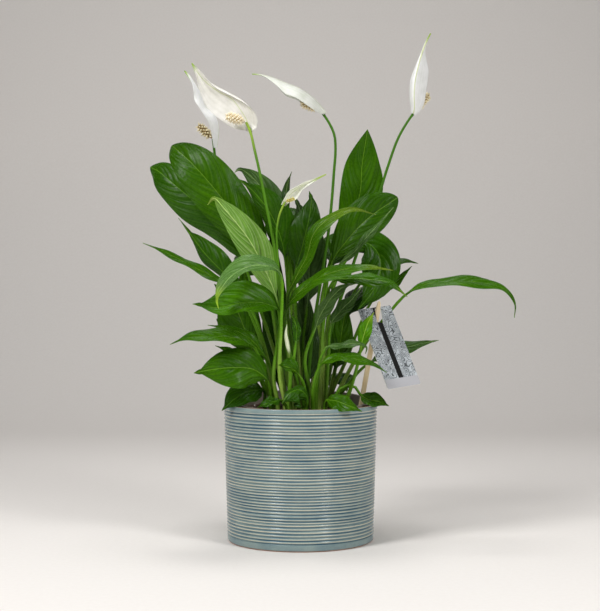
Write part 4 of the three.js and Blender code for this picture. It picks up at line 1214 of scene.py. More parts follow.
    def add_to(self, draft: Draft) -> None:
        """Adds the leaf to its node's mesh.

        Args:
            draft: The mesh.
        """
        curve = stalk_path(self.root, [*self.stalk, *self.rib])
        start = curve.share_at(len(FOOT_RISES) + len(self.stalk))
        blade_length = (1 - start) * curve.length
        stalk_steps = max(self.STALK_RINGS, round(start * curve.length / self.STALK_STEP))
        veins = max(self.VEINS, round(blade_length / self._vein_gap(blade_length)))
        steps = veins * self.VEIN_RINGS
        stations = [(start * i / stalk_steps, 0.0) for i in range(stalk_steps)]
        stations += [(start + (1 - start) * i / steps, i / steps) for i in range(steps)]
        stations.append((1 - self.LAST * (1 - start) / steps, 1 - self.LAST / steps))
        rings, marks, looks = [], [], []
        tint = LEAF_TONES_SHADE_AND_SHEEN.get(self.node, 1.0)
        yellow, yellow_from = RIPE_TIPS_AND_GLOW.get(self.node, (0.0, 0.0))
        bulge, middle, spread = self.KNEE
        for share, t in stations:
            looks.append((tint, yellow * ease(t, yellow_from, 1.0)))
            grown = min(share / start, 1) ** self.SHEATH
            knee = 1 + bulge * math.exp(-((share / start - middle) / spread) ** 2)
            radius = mix((self.FOOT, self.NECK), grown) * (1 - self.TAPER * t)
            ring, mark = self._ring(Station(curve.at(share), curve.along(share), radius * knee, t,
                                            blade_length))
            if t == 0:
                mark[:, 2] = (share - start) * curve.length
            rings.append(ring)
            marks.append(mark)
        columns = len(rings[0])
        first, second = (0, 1) if self.face > 0 else (1, 0)
        slots = [first if j < columns // 2 else second for j in range(columns)]
        draft.add_rings(np.array(rings), np.array(marks), slots, looks=np.array(looks))


# how light a leaf is beside others of its tone: partly its own tone, partly painted shade on the leaves in
# the crown's middle and at its back, and painted sheen on the lightest, the arch and the level leaf
LEAF_TONES_SHADE_AND_SHEEN = {
    "leaf_left_far": 1.1, "leaf_left_upper": 0.8, "leaf_left_striped": 1.1, "leaf_left_level": 1.25,
    "leaf_left_narrow": 0.9, "leaf_left_behind": 0.75, "leaf_front_arch": 1.6,
    "leaf_centre_long": 0.5, "leaf_centre_lime": 0.5, "leaf_centre_upright": 0.7,
    "leaf_centre_back": 0.6, "leaf_right_round": 0.78, "leaf_back_left": 0.6,
    "leaf_back_tips": 0.7, "leaf_back_middle": 0.65, "leaf_back_right": 0.65,
    "leaf_back_low": 0.65, "leaf_back_right_low": 0.65, "leaf_back_left_low": 0.65,
}
# how yellow a leaf's tip has turned, and from which share of the blade on; on the lime leaf the yellow is
# partly painted light, where light glows through its upper part
RIPE_TIPS_AND_GLOW = {
    "leaf_left_striped": (0.5, 0.8), "leaf_front_arch": (0.8, 0.72), "leaf_centre_long": (0.9, 0.7),
    "leaf_centre_lime": (0.7, 0.5), "leaf_right_arrow": (0.4, 0.8), "leaf_right_tag": (0.7, 0.6),
}


@dataclass
class Foliage:
    """All leaves, with leaves of one node in one piece."""

    leaves: Sequence[Leaf]

    def build(self) -> None:
        """Makes one piece for each node."""
        finishes = {(skin.tone, skin.side): skin.build() for skin in LEAF_SKINS}
        nodes: dict[str, list[Leaf]] = {}
        for leaf in self.leaves:
            nodes.setdefault(leaf.node, []).append(leaf)
        for node, group in nodes.items():
            tone = group[0].tone
            draft = Draft()
            for leaf in group:
                leaf.add_to(draft)
            pair = [finishes[tone, Side.UPPER], finishes[tone, Side.UNDER]]
            draft.dress(node.replace("leaf", "grown"), pair, node, 75)


# ---- blooms ----
@dataclass(frozen=True)
class Core:
    """The blunt core of a spadix, upright on its foot."""

    girth: float
    length: float
    rise: float  # of the florets on it
    neck: float  # the stem's radius below it

    ROWS = (0.0, 0.02, 0.08, 0.2, 0.4, 0.6, 0.8, 0.92, 0.98)
    BLUNT = 3.2
    SEAT = 0.7  # how far the florets' feet keep from both its ends, in their rise
    FOOT = (0.1, 0.8)  # over which share it is as wide as the stem, and how nearly
    LEAST = 0.2
    SIDES = 20

    def radius(self, t: float) -> float:
        """Returns the radius at a share of the length."""
        return self.girth * max(1 - abs(2 * t - 1) ** self.BLUNT, 0.0) ** 0.5

    def height(self, t: float, foot: float = 1.0) -> float:
        """Returns the height at a share of the length, and at a share of the foot's own."""
        return self.rise * self.SEAT * foot + t * (self.length - 2 * self.SEAT * self.rise)

    def slope(self, t: float) -> float:
        """Returns how fast the core widens at a share of the length."""
        wider = self.radius(min(t + 0.01, 1)) - self.radius(max(t - 0.01, 0))
        return wider / (0.02 * self.length)

    def rings(self) -> np.ndarray:
        """Returns the points of its skin, as rings by points by three."""
        x, y = np.cos(circle(self.SIDES)), np.sin(circle(self.SIDES))
        rings = []
        for t in self.ROWS:
            least = self.neck * self.FOOT[1] if t < self.FOOT[0] else self.LEAST
            radius = max(self.radius(t), least)
            level = np.full(self.SIDES, self.height(t, ease(t, 0, 0.02)))
            rings.append(np.stack([radius * x, radius * y, level], axis=1))
        return np.array(rings)


@dataclass
class Bloom:
    """A bloom: a round stem, a white spathe through three seen lines, and a floreted spadix.

    The spathe starts round the stem, at the last stalk point but one, and ends at its tip. The
    spadix reaches from the stem's end to one more seen point.
    """

    name: str
    root: Pair
    stalk: Sequence[Triple]
    left: Sequence[Triple]
    rib: Sequence[Triple]
    right: Sequence[Triple]
    tip: Triple
    spadix: Triple
    radius: float
    face: int = -1
    thick: float = 1.0
    floret_rise: float = 2.8
    floret_girth: float = 0.48

    FOOT = 1.8
    NECK = 1.12
    SWELL = (0.12, 2.5)  # of the stem under the spathe: how much, and how far along
    STEM_SIDES = 20
    CROWN = 0.3
    SPATHE_THICKNESS = 0.7
    HUG = 0.58 + 2 * FIT
    ROWS = 56
    CROWDING = 0.92  # below 1, rows lie closer towards the tip
    COLUMNS = 29
    RUFFLE = 0.5
    RUFFLES = 2.2
    RUFFLE_START, RUFFLE_END = (0.1, 0.3), (0.8, 1)
    THIN = 0.6  # what the spathe loses towards its margin
    MIDRIB = (0.4, 0.55)  # its height and width
    FLORET_GAP = 2.8
    PACKING = 0.87  # rows of florets lie closer, because they stand in each other's gaps
    FULL_RISE, FULL_GAP = 4.2, 3.6  # radii of a spadix from which its florets are full-sized
    SUNK = 0.35  # the least radius that florets stand at
    STEEPEST = 3.0
    # one floret: share of its radius, share of its height
    FLORET = ((1.0, 0.0), (0.94, 0.26), (0.68, 0.5), (0.4, 0.72), (0.16, 1.0))
    FLORET_SIDES = 6
    WANDER, TILT = 0.06, 0.12  # how far a floret strays from its place and leans
    GIRTHS, RISES = (0.9, 1.1), (0.85, 1.12)
    ASLANT = (0.31, 0.67, 0.67)  # a direction that florets don't point in

    def _stem(self) -> Spline:
        """Returns the stem's middle line."""
        return stalk_path(self.root, self.stalk)

    def build_stem(self, finish: bpy.types.Material) -> None:
        """Makes the stem, a little swollen where the spathe grows from it.

        Args:
            finish: Its material.
        """
        curve = self._stem()
        steps = max(30, round(curve.length / 5))
        bulge, spread = self.SWELL
        node = curve.share_at(len(FOOT_RISES) + len(self.stalk) - 2)
        shares, radii = [], []
        for i in range(steps + 1):
            share = i / steps
            swell = 1 + bulge * math.exp(-((share - node) * curve.length / spread) ** 2)
            shares.append(share)
            radii.append(mix((self.FOOT, self.NECK), share) * self.thick * swell)
        shares.append(1.0)
        radii.append(radii[-1] * 0.6)
        draft = Draft()
        tube(draft, curve, shares, np.outer(radii, np.ones(self.STEM_SIDES)), shares)
        draft.dress(f"{self.name}_stalk", [finish], f"{self.name}_stem")

    def _hug_points(self) -> list[np.ndarray]:
        """Returns points left of the stem, behind it and right of it, clear of it by the fit."""
        curve = self._stem()
        share = curve.share_at(len(FOOT_RISES) + len(self.stalk) - 2)
        middle, along = curve.at(share), curve.along(share)
        left, rib, right = [seen(line[0]) for line in (self.left, self.rib, self.right)]
        across = left - right
        across = unit(across - along * np.dot(across, along))
        behind = rib - middle
        behind -= along * np.dot(behind, along)
        behind = unit(behind - across * np.dot(behind, across))
        reach = self.NECK * self.thick + self.HUG
        return [middle + across * reach, middle + behind * reach, middle - across * reach]

    def build_spathe(self, finish: bpy.types.Material) -> None:
        """Makes the spathe: a smooth cupped sheet, with its midrib proud on the outside.

        Args:
            finish: Its material.
        """
        tip = seen(self.tip)
        left, rib, right = [Spline([hug, *map(seen, line), tip]) for hug, line in
                            zip(self._hug_points(), (self.left, self.rib, self.right))]
        rows, marks = [], []
        v = np.linspace(1, -1, self.COLUMNS)
        for i in range(self.ROWS):
            share = (i / self.ROWS) ** self.CROWDING
            a, b, c = left.spot(share), rib.spot(share), right.spot(share)
            half, sag = (a - c) / 2, (a + c) / 2 - b
            row = b + v[:, None] * half + (v ** 2)[:, None] * sag
            spread = np.linalg.norm(half)
            rows.append(row)
            marks.append(np.stack([np.full(len(v), share), v * 0.5 + 0.5,
                                   np.full(len(v), share * rib.length), v * spread], axis=1))
        grid, mark = np.array(rows), np.array(marks)
        ahead = np.gradient(grid, axis=0)
        across = -np.gradient(grid, axis=1)
        normal = unit(np.cross(ahead, across))
        t = np.linspace(0, 1, self.ROWS)[:, None]
        ruffle = self.RUFFLE * np.abs(v) ** 3 * np.sin(2 * math.pi * (self.RUFFLES * t + 0.1 * v))
        kept = ease(t, *self.RUFFLE_START) * (1 - ease(t, *self.RUFFLE_END))
        grid = grid + (ruffle * kept)[..., None] * normal
        body = self.SPATHE_THICKNESS / 2 * (1 - self.THIN * v ** 6) * np.ones_like(t)
        proud, width = self.MIDRIB
        outside = body + proud * np.exp(-(mark[..., 3] / width) ** 2) * (1 - 0.5 * t)
        front, back = (outside, body) if self.face > 0 else (body, outside)
        front_points = grid + front[..., None] * normal
        back_points = grid - back[..., None] * normal
        rings = np.concatenate([front_points, back_points[:, -2:0:-1]], axis=1)
        mark = np.concatenate([mark, mark[:, -2:0:-1]], axis=1)
        draft = Draft()
        draft.add_rings(rings, mark, [0] * rings.shape[1])
        draft.dress(f"{self.name}_bract", [finish], f"{self.name}_spathe", 80)

    def build_spadix(self, core: bpy.types.Material, finish: bpy.types.Material) -> None:
        """Makes the spadix: a blunt core, set all round with single pointed florets.

        Args:
            core: The core's material.
            finish: The florets' material.
        """
        stem = self._stem()
        top, end = stem.at(1), seen(self.spadix)
        direction = unit(end - top)
        cosine = float(np.clip(np.dot(direction, stem.along(1)), -1, 1))
        neck = self.NECK * self.thick
        clear = self.CROWN + FIT + neck * math.sin(math.acos(cosine))
        length = float(np.linalg.norm(end - top)) - clear
        rise = self.floret_rise * min(1.0, self.radius / self.FULL_RISE)
        body = Core(self.radius - rise, length, rise, neck)
        turn = upright_to(direction)
        base = end - direction * length
        draft = Draft()
        rings = base + body.rings() @ turn.T
        draft.add_rings(rings, np.zeros((*rings.shape[:2], 4)), [0] * body.SIDES)
        chance = random.Random(len(self.name) * 31 + round(self.radius * 10))
        gap = self.FLORET_GAP * min(1.0, self.radius / self.FULL_GAP)
        count = round(2 * math.pi * body.girth * (length + body.girth) / (gap * gap * self.PACKING))
        for number in range(count):
            t = (number + 0.5) / count
            angle = number * GOLDEN_ANGLE + chance.uniform(-self.WANDER, self.WANDER)
            outward = np.array([math.cos(angle), math.sin(angle), 0.0])
            spot = outward * max(body.radius(t), self.SUNK) + [0, 0, body.height(t)]
            slope = np.clip(-body.slope(t), -self.STEEPEST, self.STEEPEST)
            lean = unit(outward + np.array([0, 0, slope])
                        + np.array([chance.uniform(-self.TILT, self.TILT) for _ in range(3)]))
            self._add_floret(draft, base + turn @ spot, turn @ lean,
                             gap * self.floret_girth * chance.uniform(*self.GIRTHS),
                             rise * chance.uniform(*self.RISES))
        draft.dress(f"{self.name}_florets", [core, finish], f"{self.name}_spadix", 35)

    def _add_floret(self, draft: Draft, spot: np.ndarray, lean: np.ndarray, radius: float,
                    height: float) -> None:
        """Adds one floret.

        Args:
            draft: The spadix's mesh.
            spot: Where it grows from.
            lean: Which way it points.
            radius: Its radius.
            height: Its height to the end of its style.
        """
        side = unit(np.cross(lean, self.ASLANT))
        rim = hoop(self.FLORET_SIDES, side, np.cross(lean, side))
        rings = np.array([spot + rim * radius * wide + lean * height * high
                          for wide, high in self.FLORET])
        marks = np.zeros((len(self.FLORET), self.FLORET_SIDES, 4))
        marks[:, :, 2] = np.array([high for _, high in self.FLORET])[:, None] * height
        draft.add_rings(rings, marks, [1] * self.FLORET_SIDES, (False, True))


@dataclass
class Bud:
    """A bloom that has not opened: its spathe is rolled round itself."""

    root: Pair = (-8.3, -36.5)
    stalk: Sequence[Triple] = ((-10, 140, -41), (-10, 160, -45))
    rib: Sequence[Triple] = ((-10, 170, -47), (-12, 180, -49), (-13.5, 190, -50),
                             (-12.5, 199, -50))
    radius: float = 1.9
    stem: Pair = (1.33, 0.9)
    least: float = 0.15
    step: float = 0.16  # of the free edge, as a share of the radius
    wind: float = 2.2  # of that edge, in radians
    around: int = 24
    rings: int = 70

    def build(self, finish: bpy.types.Material) -> None:
        """Makes the stem and the rolled spathe, whose free edge winds up as a low step.

        Args:
            finish: Its material.
        """
        curve = stalk_path(self.root, [*self.stalk, *self.rib])
        start = curve.share_at(len(FOOT_RISES) + len(self.stalk))
        shares = [min(i / self.rings, 0.997) for i in range(self.rings + 1)]
        turns = [max(0.0, (share - start) / (1 - start)) for share in shares]
        radii = []
        for share, t in zip(shares, turns):
            swell = self.radius * max(math.sin(math.pi * t ** 0.75), 0) ** 0.8
            radius = max(mix(self.stem, min(share / start, 1)) * (1 - t), swell, self.least)
            edge = ((circle(self.around) + self.wind * t) / (2 * math.pi)) % 1
            radii.append(radius * (1 - self.step * edge * ease(t, 0.02, 0.12)))
        draft = Draft()
        tube(draft, curve, shares, np.array(radii), turns)
        draft.dress("furled_bud", [finish], "bud", 40)


@dataclass
class Flowers:
    """All blooms and the bud, each in the colours of its age."""

    blooms: Sequence[Bloom]

    STEM = Tissue("flower_stem", "#3f6d0c", "#3f700e", (0.2, 0.9))
    PALE_STEM = Tissue("flower_stem_pale", "#4c7c12", "#8fae3c", (0.86, 0.98))
    PALE = ("bloom_left", "bloom_young")  # on pale stems
    BRACT = SpatheSkin()
    BRACTS = {
        # bloom_left's bract is the white one darkened, as painted shade inside its cup; bloom_middle's is
        # darkened and greyed green, partly its own grey-green and partly painted shade
        "bloom_left": SpatheSkin("spathe_bract_white_shaded", "#e6e4dc", "#d2d0c6"),
        "bloom_middle": SpatheSkin("spathe_bract_greenish_shaded", "#d6d8cf", "#c4c8ba"),
        "bloom_young": SpatheSkin("young_spathe_bract", "#f0f1e6", "#e4e8d2", "#ccd6a2", "#a4bb58",
                                  0.8),
    }
    CORE = Tissue("spadix_core", "#b4965a", "#a2844a", (0.0, 1.0), 0.7)
    RIPE = FloretSkin("florets_ripe")
    YOUNG = FloretSkin("florets_young", "#e6de8c", "#b3a44a", "#e2da80")
    SHEDDING = FloretSkin("florets_shedding", "#e9dcb4", "#8a6a2c", "#fbf6e2")
    FLORETS = {"bloom_far_left": SHEDDING, "bloom_right": SHEDDING, "bloom_young": YOUNG}
    FURLED = Tissue("furled_spathe", "#7aa03c", "#dfe6c4", (0.0, 0.25))

    def build(self) -> None:
        """Makes each bloom's stem, spathe and spadix, and the bud."""
        skins = (self.STEM, self.PALE_STEM, self.BRACT, *self.BRACTS.values(), self.CORE, self.RIPE,
                 self.SHEDDING, self.YOUNG, self.FURLED)
        finishes = {skin.name: skin.build() for skin in skins}
        for bloom in self.blooms:
            stem = self.PALE_STEM if bloom.name in self.PALE else self.STEM
            bract = self.BRACTS.get(bloom.name, self.BRACT)
            florets = self.FLORETS.get(bloom.name, self.RIPE)
            bloom.build_stem(finishes[stem.name])
            bloom.build_spathe(finishes[bract.name])
            bloom.build_spadix(finishes[self.CORE.name], finishes[florets.name])
        Bud().build(finishes[self.FURLED.name])


# ---- stick and tag ----
STICK_FOOT = (53.0, 0.0)
STICK_TOP = (73.0, 220.0, -17.5)


def stick_line() -> tuple[np.ndarray, np.ndarray]:
    """Returns both ends of the stick."""
    x, y = STICK_FOOT
    return np.array([x, y, NURSERY.ground(y) - ROOT_DEPTH]), seen(STICK_TOP)


@dataclass
class Stick:
    """A flat wooden stake with a blunt point at the top."""

    width: float = 4.8
    depth: float = 2.6
    sanded: Pair = (0.96, 0.92)  # what sanding left of the width and the depth
    point: float = 9.0
    around: int = 28
    rows: int = 26
    squareness: float = 0.55  # 1 is an ellipse, 0 a rectangle
    uneven: float = 0.06
    slubs: float = 0.06  # how many lie in a millimetre

    POINT_ROWS = (6.0, 3.4, 1.6, 0.6, 0.15)  # below the top
    BLUNT = 0.35  # of the width, at the point's end
    WORN = (1.0, 0.72)  # how much of the end is rubbed off, and what is left of it

    def build(self) -> None:
        """Makes the stake: split wood, so its faces are a little uneven."""
        foot, top = stick_line()
        axis = top - foot
        length = float(np.linalg.norm(axis))
        turn = upright_to(unit(axis))
        angles = circle(self.around)
        x, y = [np.sign(f) * np.abs(f) ** self.squareness for f in (np.cos(angles), np.sin(angles))]
        rings, marks = [], []
        heights = [*np.linspace(0, length - self.point, self.rows),
                   *(length - left for left in self.POINT_ROWS)]
        for height in heights:
            left = max(length - height, 0)
            tapered = self.BLUNT + (1 - self.BLUNT) * math.sqrt(left / self.point)
            share = 1.0 if left >= self.point else tapered
            if left < self.WORN[0]:
                share *= self.WORN[1]
            bulge = [noise.noise(Vector((math.cos(a), math.sin(a), height * self.slubs)))
                     for a in angles]
            size = share * (1 + self.uneven * np.array(bulge)) / 2
            local = np.stack([x * size * self.width * self.sanded[0],
                              y * size * self.depth * self.sanded[1],
                              np.full(self.around, height)], axis=1)
            rings.append(foot + local @ turn.T)
            mark = np.zeros((self.around, 4))
            mark[:, 2] = height
            mark[:, 3] = angles / math.pi * (self.width + self.depth)
            marks.append(mark)
        draft = Draft()
        draft.add_rings(np.array(rings), np.array(marks), [0] * self.around)
        draft.dress("wooden_stake", [StickWood().build()], "stick", 60)


@dataclass
class Tag:
    """The card on the stick, with a slot near its top that the stick comes through."""

    corners: tuple[Triple, Triple, Triple] = ((53, 212, -24), (83, 216, -6.5), (82, 138.5, -52))
    thickness: float = 0.7
    corner: float = 1.0
    slot_size: Pair = (6.4, 14.0)
    slot_at: Pair = (1.6, -8.6)
    band: float = 9.0

    def _outline(self, half: float, length: float) -> list[Pair]:
        """Finds the corners of the card, each of which is cut off.

        Args:
            half: Half its width.
            length: Its height.

        Returns:
            Across and up from the middle of its top edge, for each corner.
        """
        c = self.corner
        return [(-half, c - length), (c - half, -length), (half - c, -length), (half, c - length),
                (half, -c), (half - c, 0), (c - half, 0), (-half, -c)]

    def _slot(self, slant: float) -> list[Pair]:
        """Finds the slot's corners, turned as the stick runs over the card.

        Args:
            slant: The stick's angle on the card, to the left of straight up.

        Returns:
            Across and up from the middle of the card's top edge, for each corner.
        """
        wide, tall = self.slot_size[0] / 2, self.slot_size[1] / 2
        cosine, sine = math.cos(slant), math.sin(slant)
        return [(x * cosine - y * sine + self.slot_at[0], x * sine + y * cosine + self.slot_at[1])
                for x, y in ((-wide, -tall), (-wide, tall), (wide, tall), (wide, -tall))]

    def _add_faces(self, draft: Draft, loops: list[list[Pair]], front: int, back: int) -> None:
        """Covers the card's front, its back and its cut edges.

        Args:
            draft: The card's mesh, which has its points.
            loops: Its outline and its slot.
            front: The number of the first point of its front.
            back: The number of the first point of its back.
        """
        flat = [point for loop in loops for point in loop]
        for a, b, c in tessellate_polygon([[Vector((x, y, 0)) for x, y in loop] for loop in loops]):
            first, second = np.array(flat[b]) - flat[a], np.array(flat[c]) - flat[a]
            turns_left = first[0] * second[1] - first[1] * second[0] > 0
            corners = (a, b, c) if turns_left else (a, c, b)
            draft.add_face([front + i for i in corners], 0)
            draft.add_face([back + i for i in reversed(corners)], 1)
        start = 0
        for loop in loops:
            for i in range(len(loop)):
                here, after = start + i, start + (i + 1) % len(loop)
                draft.add_face((back + here, back + after, front + after, front + here), 1)
            start += len(loop)

    def build(self) -> None:
        """Makes the card: a printed front, and a plain back and cut edges."""
        top_left, top_right, bottom_left = map(seen, self.corners)
        right, down = top_right - top_left, bottom_left - top_left
        half, length = float(np.linalg.norm(right)) / 2, float(np.linalg.norm(down))
        right = unit(right)
        up = unit(-down + right * np.dot(down, right))
        out = np.cross(right, up)
        foot, top = stick_line()
        slant = math.atan2(-np.dot(top - foot, right), np.dot(top - foot, up))
        loops = [self._outline(half, length), self._slot(slant)]
        flat = [point for loop in loops for point in loop]
        middle = top_left + right * half
        draft = Draft()
        starts = []
        for sign in (1, -1):
            points = [middle + right * x + up * y + out * sign * self.thickness / 2 for x, y in flat]
            marks = [(0, 0, -y, x) for x, y in flat]
            starts.append(draft.add_points(np.array(points), np.array(marks)))
        self._add_faces(draft, loops, *starts)
        finishes = [PrintedCard(band_from=length - self.band).build(),
                    # bare card: white, uncoated, with a faint fibre
                    Speckled("bare_card", "#e3e2dd", "#f1f0ec", 1.5, 0.75, 0.15).build()]
        draft.dress("card_tag", finishes, "tag", 30)


# ---- the photographer's table ----
@dataclass(frozen=True)
class SoftBox:
    """A rectangular lamp behind white cloth, aimed at the plant, in metres and watts."""

    name: str
    place: Triple
    size: Pair
    power: float

    AIM = (0.0, 0.0, 0.22)

    def hang(self) -> None:
        """Hangs the lamp."""
        data = bpy.data.lights.new(self.name, "AREA")
        data.shape = "RECTANGLE"
        data.size, data.size_y = self.size
        data.energy = self.power
        lamp = bpy.data.objects.new(self.name, data)
        lamp.location = self.place
        way = Vector(self.AIM) - Vector(self.place)
        lamp.rotation_euler = way.to_track_quat("-Z", "Y").to_euler()
        bpy.context.collection.objects.link(lamp)


LAMPS = (
    SoftBox("key_window", (-0.85, -0.88, 1.2), (0.4, 0.7), 17),
    SoftBox("right_box", (0.85, -0.95, 0.95), (0.35, 0.6), 10),
    SoftBox("top_box", (0.0, 0.15, 1.6), (0.5, 0.5), 8),
)


@dataclass
class Studio:
    """The camera, a pale paper floor that turns up into a wall, and soft lights."""

    paper: str = "#f0ece8"
    paper_fibre: str = "#e9e4df"
    sky: str = "#ffffff"
    sky_strength: float = 0.08
    # the paper, in metres
    half_width: float = 4.0
    front: float = -2.5
    bend_from: float = 1.0
    bend: float = 0.6
    top: float = 3.0

    def place_camera(self) -> None:
        """Puts the camera where the photograph was taken from."""
        data = bpy.data.cameras.new("eye")
        data.sensor_width = SENSOR
        data.lens = SENSOR * EYE_DISTANCE / (PHOTO_LONG_SIDE * MM_PER_PIXEL)
        data.clip_start = 0.05
        camera = bpy.data.objects.new("eye", data)
        camera.location = (EYE_ACROSS * MM, -EYE_DISTANCE * MM, EYE_HEIGHT * MM)
        camera.rotation_euler = (math.radians(90), 0, 0)
        bpy.context.collection.objects.link(camera)
        bpy.context.scene.camera = camera

    def lay_floor(self) -> None:
        """Lays the roll of matt paper, pressed from pulp, which shows a faint fibre."""
        profile = [(self.front, 0.0), (self.bend_from, 0.0)]
        profile += [(self.bend_from + math.sin(a) * self.bend, self.bend - math.cos(a) * self.bend)
                    for a in np.radians(np.linspace(9, 90, 10))]
        profile.append((self.bend_from + self.bend, self.top))
        points = [(x, y, z) for y, z in profile for x in (-self.half_width, self.half_width)]
        faces = [(2 * i, 2 * i + 1, 2 * i + 3, 2 * i + 2) for i in range(len(profile) - 1)]
        mesh = bpy.data.meshes.new("paper_sweep")
        mesh.from_pydata(points, [], faces)
        mesh.polygons.foreach_set("use_smooth", [True] * len(faces))
        paint = Paint("matt_paper", Roughness=0.85)
        place = paint.add("TexCoord").outputs["Object"]
        fibre = paint.add("TexNoise", Vector=place, Scale=per_metre(4), Detail=3.0)
        mesh.materials.append(paint.finish(paint.coats(self.paper, (fibre, self.paper_fibre))))
        floor = bpy.data.objects.new("paper_sweep", mesh)
        bpy.context.collection.objects.link(floor)

    def light(self) -> None:
        """Lights the scene softly, most from the upper left."""
        world = bpy.data.worlds.new("soft_room")
        world.use_nodes = True
        background = world.node_tree.nodes["Background"]
        background.inputs["Color"].default_value = linear(self.sky)
        background.inputs["Strength"].default_value = self.sky_strength
        bpy.context.scene.world = world
        for lamp in LAMPS:
            lamp.hang()
        bpy.context.scene.view_settings.view_transform = "Standard"


